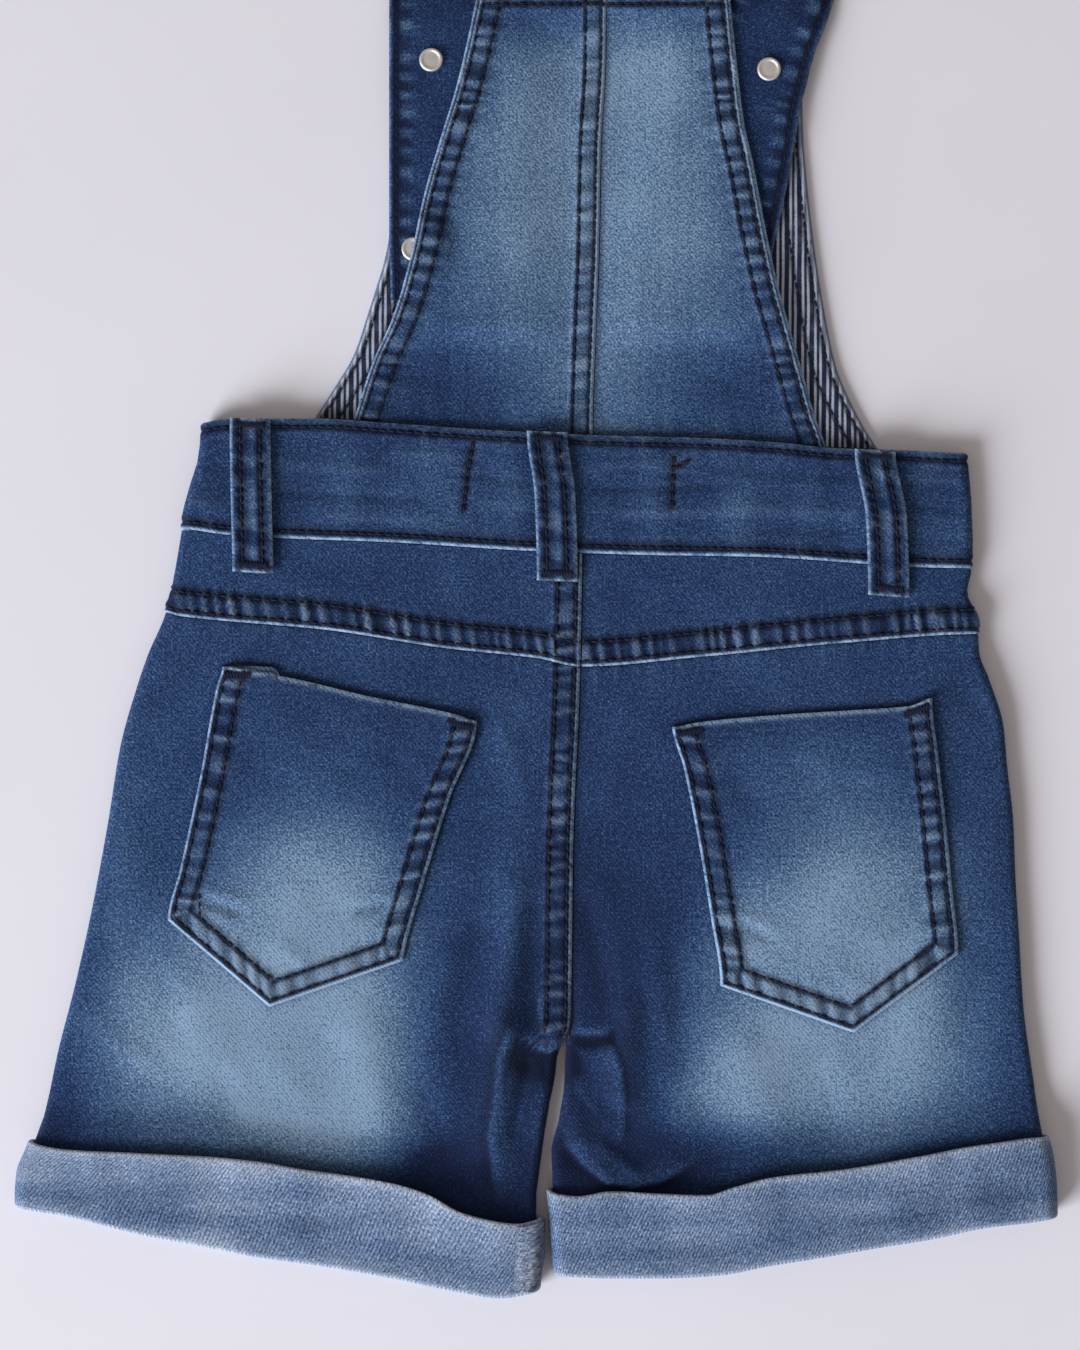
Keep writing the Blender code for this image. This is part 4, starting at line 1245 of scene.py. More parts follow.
    def build(self) -> None:
        """Build the legs, the yokes and their sewing."""
        sewing = Sewing("body_stitching", thickness=0.9)
        below = Sewing("front_stitching")
        for half in HALVES:
            panels = {part: self.panel(half, part) for part in ("back_leg", "back_yoke", "front_leg")}
            for part, panel in panels.items():
                lay_panel(panel, self.cloth)
            start, end = (0.6, 0.0) if half.side is Side.LEFT else (0.0, -0.6)
            for inset in YOKE_FELL.rows:
                row = panels["back_yoke"].path((0.0, start, 0.0, inset), (1.0, end, 0.0, inset), 400)
                sewing.run(row)
            if half.side is Side.LEFT:
                self.sew_seams(panels, sewing, below)
        sewing.build(self.thread)
        below.build(self.thread)


@dataclass
class Cuffs:
    """Turned-up hems that show the wrong side of the cloth, with overlocked top edges.

    The flat size of a cuff and the cut of the inseam are in metres, the rest in millimetres.
    """

    cloth: bpy.types.Material
    thread: bpy.types.Material
    hook: float = 1.6
    climbs: int = 20
    evens: int = 104
    wave_height: float = 0.55
    overlock_pitch: float = 1.15
    # The left cuff is set paler than the right one by painted light, as the lamp is on the left
    wash_with_painted_light: dict[Side, float] = field(default_factory=lambda: {Side.LEFT: 0.52, Side.RIGHT: 0.43})
    flat_size: tuple[float, float] = (0.36, 0.042)
    inseam_levels: tuple[float, float] = (3.0, 27.0)
    inseam_width: float = 7.2
    inseam_cut: tuple[float, float] = (0.01, 0.024)
    inseam_stitches: int = 26

    def profile(self) -> Array:
        """Corners of the folded cloth: climb up the cuff, rise in millimetres and distance out."""
        outside = CUFF_GAP + CUFF_WALL
        down = [(climb, 0.0, outside) for climb in np.linspace(0.99, 0.06, self.climbs)]
        bottom = [
            (0.0, 1.1, outside - 0.04), (0.0, 0.55, outside - 0.22), (0.0, 0.18, outside - 0.6),
            (0.0, 0.0, outside - 1.1), (0.0, 0.0, 0.2), (0.0, 0.0, -0.6), (0.0, 0.12, -0.9),
            (0.0, 0.4, -1.12), (0.0, 0.9, -DENIM_WALL), (0.0, self.hook, -DENIM_WALL),
            (0.0, self.hook, CUFF_GAP),
        ]
        inside = [(climb, 0.0, CUFF_GAP) for climb in (0.2, 0.4, 0.6, 0.8)]
        top = [
            (1.0, -0.2, CUFF_GAP), (1.0, 0.15, CUFF_GAP + 0.3), (1.0, 0.25, CUFF_GAP + 0.8),
            (1.0, 0.12, outside - 0.2),
        ]
        return np.array(down + bottom + inside + top)

    def surface(self, half: Half, columns: Array, back: Array, corners: Array) -> Surface:
        """Surface of one cuff.

        Args:
            half: Half of the body.
            columns: Share and shift of the grid lines, from the outer to the inner side.
            back: Whether each place is on the back.
            corners: Climb, rise and distance out of each place.

        Returns:
            The points and their looks.
        """
        climb, rise, out = corners.T
        across = np.full(len(climb), -90.0 * half.inward)
        up = np.zeros(len(climb))
        outer = inner = across
        for _ in range(SETTLE_ROUNDS):
            bottom, top = half.cuff_bottom(across), half.cuff_top(across)
            up = bottom * (1.0 - climb) + top * climb + rise
            outer, inner = FORM.edges(half, up, True)
            across = outer * (1.0 - columns[:, 0]) + inner * columns[:, 0]
            across = across + half.inward * columns[:, 1]
        inset, inner_inset = (across - outer) * half.inward, (inner - across) * half.inward
        rounded = np.minimum(FORM.bulge(inset), FORM.bulge(inner_inset))
        skin = smooth_share(-0.4, CUFF_GAP, out)
        wave = uneven_line(across, 15.0, 71) * climb * climb + 0.5 * uneven_line(across, 7.0, 72) * climb
        wave = wave + 0.6 * uneven_field(across, up, 12.0, 73)
        stand = half.cuff_stand(across) * climb * climb + self.wave_height * wave * skin
        extra = np.where(back, np.maximum(stand, -0.3 * skin) * rounded, 0.0)
        behind = FORM.point(half, across, up, out + extra, True)
        front = FORM.point(half, across, up, out, False)
        points = np.where(back[:, None], behind, front)
        points[:, 2] = np.maximum(points[:, 2], 0.0)
        # Each cuff's base wash holds painted light that makes the left one paler
        wash = self.wash_with_painted_light[half.side] + 0.13 * uneven_field(across, up, 15.0, 74)
        wash = wash + 0.06 * uneven_line(up, 3.0, 75)
        wash = wash + 0.08 * hump(climb - 0.92, 0.10) * smooth_share(0.4, 1.2, out)
        wash = wash + 0.12 * hump(climb, 0.12) - 0.14 * hump(climb - 0.30, 0.12)
        worn = 0.55 * hump(climb - 1.0, 0.05) + 0.30 * hump(climb, 0.05)
        streak = capped(uneven_field(across * 0.22, up, 3.4, 76) - 0.15)
        # Painted shade on the inner faces of the cuff in the gap round the leg, and on its rounded outer
        # side
        dark = 0.5 * (1.0 - skin) * (out < CUFF_GAP) * (climb < 0.97) + 0.25 * hump(inset, 1.8)
        dark = dark + 0.45 * streak * hump(climb - 0.30, 0.24) * skin
        return Surface(points, capped(wash), worn, capped(dark))

    def build_cuff(self, half: Half) -> bpy.types.Object:
        """Build one cuff as a closed band round the leg.

        Args:
            half: Half of the body.

        Returns:
            The new piece.
        """
        rounds = FORM.rounds(14.0, 8)
        lines = grid_lines(rounds, rounds, self.evens)
        columns = np.concatenate((lines, lines[::-1]))
        back = np.arange(len(columns)) < len(lines)
        corners = self.profile()
        ring = bmesh.new()
        bmesh.ops.create_grid(ring, x_segments=len(columns), y_segments=len(corners), size=0.5)
        stop_layer = ring.verts.layers.int.new("stop")
        corner_layer = ring.verts.layers.int.new("corner")
        for vertex in ring.verts:
            vertex[stop_layer] = round((vertex.co.x + 0.5) * len(columns)) % len(columns)
            vertex[corner_layer] = round((vertex.co.y + 0.5) * len(corners)) % len(corners)
        surface = self.read_ring(half, ring, columns, back, corners)[0]
        place_vertices(ring, surface.points)
        bmesh.ops.remove_doubles(ring, verts=ring.verts[:], dist=1e-6)
        close_mesh(ring)
        surface, stop, corner = self.read_ring(half, ring, columns, back, corners)
        piece = add_object(f"cuff_{half.side.value}_cloth", ring, self.cloth)
        around = np.cumsum(np.full(len(columns), 1.55))
        cloth = np.stack((around[stop] * half.inward, corners[corner, 0] * 26.0), axis=1)
        dress_cloth(piece, cloth, np.zeros(len(stop)), surface)
        return piece

    def read_ring(
        self, half: Half, ring: bmesh.types.BMesh, columns: Array, back: Array, corners: Array
    ) -> tuple[Surface, Array, Array]:
        """Surface at the vertices of the band, with their stops and corners.

        Args:
            half: Half of the body.
            ring: The band, with its two layers of numbers.
            columns: Grid lines round the leg.
            back: Whether each of them is on the back.
            corners: Corners of the profile.

        Returns:
            The surface, and the stop and corner of each vertex.
        """
        stop_layer, corner_layer = ring.verts.layers.int["stop"], ring.verts.layers.int["corner"]
        stop = np.array([vertex[stop_layer] for vertex in ring.verts])
        corner = np.array([vertex[corner_layer] for vertex in ring.verts])
        return self.surface(half, columns[stop], back[stop], corners[corner]), stop, corner

    def edge_path(self, half: Half, climb: float, back: bool, lift: float) -> Array:
        """Points along the cuff at one climb.

        Args:
            half: Half of the body.
            climb: Share of the way up the cuff.
            back: Whether on the back.
            lift: Distance out from the skin of the cuff.

        Returns:
            Rows of across, up and height in millimetres.
        """
        columns = grid_lines([0.5, 1.5], [1.5, 0.5], 400)
        corners = np.tile((climb, 0.0, CUFF_GAP + CUFF_WALL + lift), (len(columns), 1))
        return self.surface(half, columns, np.full(len(columns), back), corners).points

    def build(self) -> None:
        """Build the cuffs, their overlocked edges and the inseam end of the left cuff."""
        overlock = Sewing("cuff_overlock", thickness=0.45)
        for half in HALVES:
            piece = register(self.build_cuff(half), f"cuff_{half.side.value}")
            high, low = self.edge_path(half, 1.0, True, 0.0), self.edge_path(half, 0.965, True, 0.0)
            along = distance_along(high)
            for place in np.arange(1.0, along[-1], self.overlock_pitch):
                lean = 0.9 * math.sin(place * 2.1)
                upper = [np.interp(place + lean, along, high[:, axis]) for axis in range(3)]
                lower = [np.interp(place, along, low[:, axis]) for axis in range(3)]
                overlock.join(lower, upper)
        overlock.build(self.thread, Slot.REVERSE)
        self.build_inseam()

    def inseam_middle(self, up: Array) -> Array:
        """Across of the middle of the folded inseam at each level."""
        return np.interp(up, (2.0, 8.0, 20.0, 28.0), (-15.0, -13.2, -12.4, -12.2))

    def inseam_surface(self, across: Array, up: Array, inner_side: bool) -> Surface:
        """Surface of the folded inseam, which lies on the left cuff.

        Args:
            across: Places across the garment.
            up: Places up the garment.
            inner_side: Whether to give the inner side of the cloth instead of its face.

        Returns:
            The points and what the finish shows at them.
        """
        outer = FORM.edges(LEFT_HALF, up, True)[0]
        columns = np.stack((np.zeros(len(across)), across - outer), axis=1)
        bottom, top = LEFT_HALF.cuff_bottom(across), LEFT_HALF.cuff_top(across)
        climb = np.clip((up - bottom) / (top - bottom), 0.04, 0.97)
        middle = self.inseam_middle(up)
        aside = np.abs(across - middle) / (self.inseam_width / 2.0)
        thick = 0.12 if inner_side else 0.25 + 0.9 * np.sqrt(np.maximum(1.0 - aside**2, 0.0))
        ridge = 0.0 if inner_side else 0.16 * np.sin(math.tau * (up * 0.8 + across * 0.25))
        out = CUFF_GAP + CUFF_WALL + thick + ridge
        corners = np.stack((climb, np.zeros_like(climb), out * np.ones_like(climb)), axis=1)
        skin = self.surface(LEFT_HALF, columns, np.full(len(across), True), corners)
        wash = 0.50 + 0.8 * (0.5 * uneven_field(across, up, 0.9, 81))
        dark = 0.75 * hump(aside - 1.0, 0.3) + 0.7 * hump(up - self.inseam_levels[0], 1.0) * (
            across < middle)
        return Surface(skin.points, capped(wash), np.full_like(up, 0.25), dark)

    def build_inseam(self) -> None:
        """Build the folded end of the inseam that shows on the left cuff."""
        low, high = self.inseam_levels
        half_width = self.inseam_width / 2.0
        panel = Panel(
            "cuff_inseam_left", lambda up: self.inseam_middle(up) - half_width,
            lambda up: self.inseam_middle(up) + half_width,
            lambda across: np.full_like(across, low), lambda across: np.full_like(across, high),
            grid_lines([0.0, 0.3], [0.3, 0.0], 14), grid_lines([0.0, 0.3], [0.3, 0.0], 48),
            self.inseam_surface, both_faces=True,
        )
        piece = register(panel.build(self.cloth))
        rope = Sewing("cuff_inseam_overlock", thickness=0.42)
        for number in range(self.inseam_stitches):
            up = low + 0.8 + number * 0.9
            shares = np.array((0.2, 0.85)) if number % 2 else np.array((0.15, 0.7))
            across = self.inseam_middle(np.full(2, up)) + (shares - 0.5) * self.inseam_width
            ends = self.inseam_surface(across, np.array((up, up + 0.9)), False).points
            rope.join(ends[0] + (0, 0, 0.16), ends[1] + (0, 0, 0.16))
        rope.build(self.thread, Slot.REVERSE)


BAND_FOOT = SewnEdge(rows=(2.6,), width=4.6, raised=0.12, rope=0.9, line=0.95, seed=91, shadow=1.3)
BAND_CREASES = (
    Crease((8, 286), (44, 288), 1.8, 0.35),
    Crease((12, 278), (62, 280), 1.5, -0.40),
    Crease((20, 270), (58, 271), 1.7, 0.35),
    Crease((52, 285), (98, 282), 1.6, -0.35),
    Crease((60, 272), (100, 270), 1.8, 0.40),
    Crease((66, 264), (96, 263), 1.3, -0.30),
    Crease((-98, 287), (-62, 285), 1.8, 0.35),
    Crease((-96, 277), (-50, 275), 1.5, -0.40),
    Crease((-84, 269), (-46, 268), 1.7, 0.30),
    Crease((-58, 291), (-37, 290), 1.4, 0.30),
    Crease((-30, 283), (-12, 280), 1.5, -0.35),
    Crease((-28, 273), (-12, 272), 1.6, 0.30),
    Crease((-123, 287), (-116, 285), 1.6, -0.35),
    Crease((-127, 275), (-116, 273), 1.6, 0.30),
    Crease((118, 283), (136, 281), 1.6, 0.35),
    Crease((120, 272), (137, 271), 1.4, -0.35),
)
BAND_HEAD = SewnEdge(rows=(2.8,), width=4.6, raised=0.12, rope=0.9, worn=0.75, line=0.6, seed=97,
                     shadow=1.1)


@dataclass
class Waistband:
    """Front and back waistband, the back one drawn in by elastic that is tacked in two places."""

    cloth: bpy.types.Material
    thread: bpy.types.Material
    raise_height: float = 0.6
    tacks: tuple[tuple[tuple[float, float], ...], ...] = (
        ((-31.0, 295.0), (-33.0, 284.0), (-34.6, 270.5)),
        ((38.0, 289.8), (37.6, 281.0), (37.3, 272.0)),
        ((37.6, 285.2), (43.6, 288.6)),
    )
    tack_darkness: float = 1.0

    def sides(self, up: Array) -> tuple[Array, Array]:
        """Across of the left and the right side at each level."""
        return LEFT_HALF.outer(up), RIGHT_HALF.outer(up)

    def surface(self, back: bool, across: Array, up: Array, inner_side: bool) -> Surface:
        """Surface of one waistband.

        Args:
            back: Whether it is the back one.
            across: Places across the garment.
            up: Places up the garment.
            inner_side: Whether to give the inner side of the cloth instead of its face.

        Returns:
            The points and what the finish shows at them.
        """
        left, right = self.sides(up)
        rise, drop = up - BAND_BOTTOM(across), BAND_TOP(across) - up
        foot, head = BAND_FOOT.relief(rise, across), BAND_HEAD.relief(drop, across)
        middle = smooth_share(3.0, 10.0, rise) * smooth_share(3.0, 10.0, drop)
        gather = np.sin(math.tau * (across / 27.0 + 0.3 * uneven_line(across, 19.0, 101)))
        fine = uneven_line(across + 0.15 * rise, 4.2, 102) * (0.35 + 0.65 * (1.0 - middle))
        height = foot[0] + head[0] + 0.22 * gather * np.sin(math.pi * capped(rise / 44.0))
        folds = sum(crease.rise(across, up) for crease in BAND_CREASES) * middle
        lines = uneven_line(rise + 0.035 * across + 2.2 * uneven_line(across, 31.0, 104), 2.6, 105)
        lines = lines * (0.55 + 0.45 * uneven_field(across, up, 17.0, 106)) * middle
        height = height + 0.16 * fine + folds + 0.13 * lines
        # Painted highlight on the raised crumples and creases, and painted shade in their troughs
        worn = np.maximum(foot[1], head[1]) + 0.10 * capped(fine)
        dark = np.maximum(foot[2], head[2]) + 0.16 * capped(-fine)
        worn, dark = worn + 0.35 * capped(folds), dark + 0.8 * capped(-folds)
        # Painted shade at the rounded ends of the band
        dark = dark + 0.25 * hump(across - left, 2.4) + 0.25 * hump(right - across, 2.4)
        if back:
            for tack in self.tacks:
                for start, end in zip(tack, tack[1:]):
                    line = Crease(start, end, 1.3, 1.0).rise(across, up)
                    height = height - 0.3 * line
                    dark = np.maximum(dark, self.tack_darkness * line)
                    puckers = Crease(start, end, 3.5, 1.0).rise(across, up)
                    height = height + 0.14 * puckers * np.sin(up * 1.35)
                    worn = worn + 0.12 * puckers * capped(np.sin(up * 1.35))
        out = np.full_like(up, -DENIM_WALL)
        if not inner_side:
            out = self.raise_height + height if back else np.minimum(height, 0.0)
        near_left = across - left < right - across
        on_left = FORM.point(LEFT_HALF, across, up, out, back, whole_width=True)
        on_right = FORM.point(RIGHT_HALF, across, up, out, back, whole_width=True)
        points = np.where(near_left[:, None], on_left, on_right)
        wash = 0.30 + 0.06 * uneven_field(across, up, 12.0, 103) + 0.05 * gather * middle
        wash = wash + 0.05 * hump(rise - 20.0, 12.0) + 0.075 * lines
        return Surface(points, capped(wash), capped(worn), capped(dark))

    def panel(self, back: bool) -> Panel:
        """Panel of one waistband.

        Args:
            back: Whether it is the back one.

        Returns:
            The panel.
        """
        rounds = FORM.rounds(16.0, 9)
        rows = grid_lines(close_insets(BAND_FOOT.rows, 6.0), close_insets(BAND_HEAD.rows, 6.0), 20)
        return Panel(
            "back_waistband_cloth" if back else "front_waistband_cloth",
            LEFT_HALF.outer, RIGHT_HALF.outer, BAND_BOTTOM, BAND_TOP,
            grid_lines(rounds, rounds, 216 if back else 110),
            rows if back else rows[::2] if len(rows) % 2 else rows, partial(self.surface, back),
        )

    def build(self) -> None:
        """Build both waistbands and their sewing."""
        back, front = self.panel(True), self.panel(False)
        lay_panel(back, self.cloth)
        lay_panel(front, self.cloth)
        sewing = Sewing("waistband_stitching", thickness=0.9)
        below = Sewing("front_waistband_stitching")
        foot, head = BAND_FOOT.rows[0], BAND_HEAD.rows[0]
        for row in ((0.0, foot), (1.0, -head)):
            sewing.run(back.path((0.0, 1.0, *row), (1.0, -1.0, *row), 700))
            below.run(front.path((0.0, 3.0, *row), (1.0, -3.0, *row), 700), facing=-0.2)
        for tack in self.tacks:
            steps = np.linspace(0.0, 1.0, 60)
            knots = np.linspace(0.0, 1.0, len(tack))
            across, up = (np.interp(steps, knots, values) for values in np.array(tack).T)
            path = self.surface(True, across, up, False).points
            for side in (-0.35, 0.35):
                sewing.run(path + (side, 0.0, 0.0))
        sewing.build(self.thread)
        below.build(self.thread)


@dataclass(frozen=True)
class Strap:
    """Run of one shoulder strap: rows of up and across, and where its upper run starts."""

    side: Side
    run: Edge
    start: float

    def across(self, level: float) -> float:
        """Across of the middle of its lower run at a level."""
        return float(self.run(np.array([level]))[0])


LEFT_STRAP = Strap(
    Side.LEFT, Edge(((344, -41.0), (368, -41.5), (447, -41.5), (579, -43.0))), -11.5
)
RIGHT_STRAP = Strap(
    Side.RIGHT,
    Edge((
        (344, 50.0), (366, 54.6), (381, 58.0), (399, 61.5), (414, 63.8), (422, 65.9), (434, 69.0),
        (447, 74.0), (579, 111.0),
    )),
    36.5,
)
STRAP_WIDTH = 37.0
STRAP_FOLD_UP = 579.0
STRAP_END_UP = 344.0
BIB_TOP = 451.0
FRONT_BIB_TOP = 437.5
LINING_TOP = DENIM_WALL + SEAM_GAP + LINING_WALL
LINING_INSET = 0.8
STUD_RADIUS = 4.1
STUD_HEIGHT = 1.3
STUDS = {
    "left_upper": (-45.5, 426.6),
    "left_lower": (-51.6, 361.4),
    "right_upper": (71.0, 423.4),
}

BIB_LEFT = Edge((
    (290, -76.5), (303, -72.1), (323, -65.5), (338, -58.6), (360, -52.1), (380, -47.9),
    (399, -42.4), (418, -36.6), (447, -30.0), (452, -29.0),
))
BIB_RIGHT = Edge((
    (290, 91.0), (305, 86.6), (326, 80.7), (346, 74.8), (366, 70.3), (391, 65.5), (405, 62.4),
    (427, 59.7), (445, 57.9), (452, 57.4),
))
BIB_SEAM = Edge(((295, 10.2), (336, 11.4), (361, 12.4), (397, 13.1), (427, 14.7), (452, 14.8)))
FRONT_BIB_LEFT = Edge((
    (290, -94.0), (303, -85.9), (315, -78.3), (325, -72.4), (339, -67.6), (350, -64.1),
    (358, -61.7), (368, -60.0), (400, -59.3), (438, -58.8),
))
FRONT_BIB_RIGHT = Edge((
    (290, 110.5), (294, 107.9), (305, 101.4), (321, 94.5), (341, 90.3), (361, 87.2),
    (381, 84.8), (402, 83.1), (414, 82.8), (438, 80.5),
))
BIB_WASH = 0.42
BIB_FADES = (
    TonePatch(12, 348, 30, 44, 0.24),
    TonePatch(30, 430, 26, 26, 0.26),
    TonePatch(2, 420, 30, 22, 0.12),
    TonePatch(-14, 388, 22, 48, 0.33, -6),
    TonePatch(34, 388, 26, 50, 0.33, 6),
    TonePatch(-30, 352, 18, 30, 0.06, -12),
    TonePatch(56, 352, 16, 30, 0.08, 12),
    TonePatch(10, 440, 60, 10, -0.14),
    TonePatch(-46, 312, 26, 16, -0.18),
    TonePatch(58, 312, 26, 14, -0.10),
    TonePatch(14, 314, 20, 26, 0.14),
)
BIB_HEM = SewnEdge(rows=(2.6, 8.1), width=8.9, rope=1.5, line=0.85, worn=1.0, wave=6.0, seed=111,
                   shadow=0.7, spread=8.0)
BIB_FELL = SewnEdge(rows=(1.7, 7.1), width=8.0, line=0.95, worn=1.0, seed=121, shadow=0.55)
BIB_HEAD = SewnEdge(rows=(5.5,), width=7.0, raised=0.5, rope=0.8, seed=127)
LINING_HEM = SewnEdge(rows=(1.7, 6.9), width=8.0, raised=0.1, rope=0.3, worn=0.9, line=0.9,
                      seed=131, roll=0.5)
STRAP_HEM = SewnEdge(rows=(2.6,), width=6.5, raised=0.25, rope=0.5, worn=0.45, line=0.7,
                     seed=141, roll=0.55, shadow=1.4)
BIB_CREASES = (
    Crease((-50, 330), (-30, 336), 3.5, 0.35),
    Crease((-58, 318), (-40, 316), 3.0, -0.3),
    Crease((60, 330), (76, 322), 3.5, 0.35),
    Crease((48, 318), (66, 312), 3.0, -0.3),
    Crease((-20, 310), (0, 308), 4.0, 0.3),
    Crease((20, 311), (44, 308), 4.0, 0.3),
    Crease((-34, 400), (-24, 404), 3.0, 0.25),
    Crease((50, 404), (60, 398), 3.0, 0.25),
    Crease((-8, 372), (4, 378), 5.0, 0.2),
    Crease((24, 360), (40, 352), 5.0, -0.2),
)


@dataclass
class Bib:
    """Front bib with its striped lining, and the two halves of the back bib above them."""

    cloth: bpy.types.Material
    lining: bpy.types.Material
    thread: bpy.types.Material

    def strap_near(self, across: Array, up: Array) -> Array:
        """Share by which the strap ends below lift the back bib.

        Args:
            across: Places across the garment.
            up: Places up the garment.

        Returns:
            The share at each place.
        """
        reach = smooth_share(STRAP_END_UP - 18.0, STRAP_END_UP - 7.0, up)
        share = smooth_share(432.0, 446.0, up)
        for strap in (LEFT_STRAP, RIGHT_STRAP):
            beside = np.abs(across - strap.run(up)) - STRAP_WIDTH / 2.0
            share = np.maximum(share, reach * (1.0 - smooth_share(4.0, 26.0, beside)))
        return share

    def underside(self, across: Array, up: Array) -> Array:
        """Height of the underside of the back bib over the lining, the straps and a stud.

        Args:
            across: Places across the garment.
            up: Places up the garment.

        Returns:
            The height at each place.
        """
        stud_across, stud_up = STUDS["left_lower"]
        past_stud = np.hypot(across - stud_across, up - stud_up) - STUD_RADIUS
        stud_lift = (STUD_HEIGHT + SEAM_GAP) * (1.0 - smooth_share(5.0, 13.0, past_stud))
        strap_lift = (STRAP_WALL + SEAM_GAP) * self.strap_near(across, up)
        return LINING_TOP + SEAM_GAP + strap_lift + stud_lift

    def back_surface(self, side: Side, across: Array, up: Array, inner_side: bool) -> Surface:
        """Surface of one half of the back bib.

        Args:
            side: Which half.
            across: Places across the garment.
            up: Places up the garment.
            inner_side: Whether to give the inner side of the cloth instead of its face.

        Returns:
            The points and what the finish shows at them.
        """
        slant = 0.965
        if side is Side.LEFT:
            hem_inset, seam_inset = (across - BIB_LEFT(up)) * slant, BIB_SEAM(up) - across
        else:
            hem_inset = (BIB_RIGHT(up) - across) * slant
            seam_inset = across - BIB_SEAM(up) - SEAM_GAP
        hem = BIB_HEM.relief(hem_inset, up)
        head = BIB_HEAD.relief(BIB_TOP - up, across)
        height, worn, dark = (np.maximum(first, second) for first, second in zip(hem, head))
        height = np.where(hem[0] < 0.0, np.minimum(hem[0], height), height)
        if side is Side.LEFT:
            fell = BIB_FELL.relief(seam_inset, up)
            height = np.where(seam_inset < 11.0, np.maximum(fell[0], height), height)
            height = np.where(fell[0] < 0.0, fell[0], height)
            worn, dark = np.maximum(worn, fell[1]), np.maximum(dark, fell[2])
        else:
            # Painted shadow of the left half's felled edge along the seam
            dark = np.maximum(dark, 0.55 * hump(seam_inset, 1.3))
        # The two folded layers of the hem part a little: painted shade in the gap, as a thin dark line along
        # its edge
        worn = np.maximum(worn, 0.85 * hump(hem_inset - 1.65, 0.5))
        parted = hump(hem_inset - 1.05, 0.3) * smooth_share(
            -0.2, 0.3, uneven_line(up, 9.0, 151) + 0.75)
        worn, height = worn * (1.0 - 0.9 * parted), height - 0.35 * parted
        dark = np.maximum(dark, 0.95 * parted)
        foot = up - BAND_TOP(across)
        # Painted shade where the bib meets the top of the waistband
        dark = dark + 0.35 * hump(foot, 1.6)
        folds = sum(crease.rise(across, up) for crease in BIB_CREASES)
        folds = folds + 0.16 * uneven_field(across, up, 14.0, 152)
        folds = folds + 0.18 * np.sin(math.tau * across / 9.0 + 2.0 * uneven_line(
            across, 14.0, 153)) * hump(foot, 9.0)
        free = smooth_share(8.0, 14.0, hem_inset)
        under = self.underside(across, up)
        top = under + DENIM_WALL + height + folds * free
        wash = BIB_WASH + sum(tone_patch.share(across, up) for tone_patch in BIB_FADES)
        wash = wash + 0.04 * uneven_field(across, up, 13.0, 154)
        wash = wash + 0.03 * uneven_line(across, 2.2, 155)
        # Painted shade in the crease troughs
        dark = dark + 0.25 * capped(-folds) * free
        points = np.stack((across, up, under if inner_side else top), axis=1)
        return Surface(points, capped(wash), capped(worn), capped(dark))

    def front_surface(
        self, top: float, wall: float, lining: bool, across: Array, up: Array, inner_side: bool
    ) -> Surface:
        """Surface of the front bib or of its lining.

        Args:
            top: Height of its upper face.
            wall: Thickness of the cloth.
            lining: Whether it is the lining, whose face is the upper one.
            across: Places across the garment.
            up: Places up the garment.
            inner_side: Whether to give the inner side of the cloth instead of its face.

        Returns:
            The points and what the finish shows at them.
        """
        inset_shift = LINING_INSET if lining else 0.0
        left = across - FRONT_BIB_LEFT(up) - inset_shift
        right = FRONT_BIB_RIGHT(up) - inset_shift - across
        slant = 0.9
        first, second = (LINING_HEM.relief(inset * slant, up) for inset in (left, right))
        height = np.minimum(first[0], 0.05) + np.minimum(second[0], 0.05)
        upper = np.full_like(up, top)
        if lining:
            upper = upper + height * 0.8
        lower = np.full_like(up, top - wall)
        if not lining:
            lower = lower + np.maximum(-height, 0.0) * 0.5
        on_top = inner_side != lining
        points = np.stack((across, up, upper if on_top else lower), axis=1)
        wash = 0.5 + 0.12 * uneven_field(across, up, 16.0, 161)
        foot = up - BAND_TOP(across)
        # Painted shade on the lining beside the top of the waistband
        dark = np.maximum(first[2], second[2]) + 0.4 * hump(foot, 6.0) * lining
        return Surface(points, wash, np.maximum(first[1], second[1]), capped(dark))

    def build(self) -> None:
        """Build the bibs, the lining and their sewing."""
        sewing = Sewing("bib_stitching")
        foot = BAND_TOP.moved(SEAM_GAP)
        front_foot = BAND_TOP.moved(2.0 * SEAM_GAP)
        hem, fell = close_insets(BIB_HEM.rows, 11.0), close_insets(BIB_FELL.rows, 11.0)
        rows = grid_lines([0.0, 0.6, 1.4], close_insets(BIB_HEAD.rows, 8.5), 106)
        for side in Side:
            left_side = side is Side.LEFT
            panel = Panel(
                f"back_bib_{side.value}_cloth",
                BIB_LEFT if left_side else BIB_SEAM.moved(SEAM_GAP),
                BIB_SEAM if left_side else BIB_RIGHT,
                foot, lambda across: np.full_like(across, BIB_TOP),
                grid_lines(hem, fell, 40) if left_side else grid_lines([0.0, 0.7, 1.5], hem, 46),
                rows, partial(self.back_surface, side),
            )
            lay_panel(panel, self.cloth)
            slant = 1.036
            for inset in BIB_HEM.rows:
                column = (0.0, inset * slant) if left_side else (1.0, -inset * slant)
                sewing.run(panel.path((*column, 0.0, 0.6), (*column, 1.0, -inset * 0.8), 400))
            for inset in BIB_FELL.rows if left_side else ():
                sewing.run(panel.path((1.0, -inset, 0.0, 0.6), (1.0, -inset, 1.0, -1.0), 400))
            head = BIB_HEAD.rows[0]
            ends = ((0.0, 3.0), (1.0, 0.0)) if left_side else ((0.0, 0.0), (1.0, -3.0))
            for inset in (head - 0.3, head + 0.3):
                sewing.run(panel.path((*ends[0], 1.0, -inset), (*ends[1], 1.0, -inset), 200))
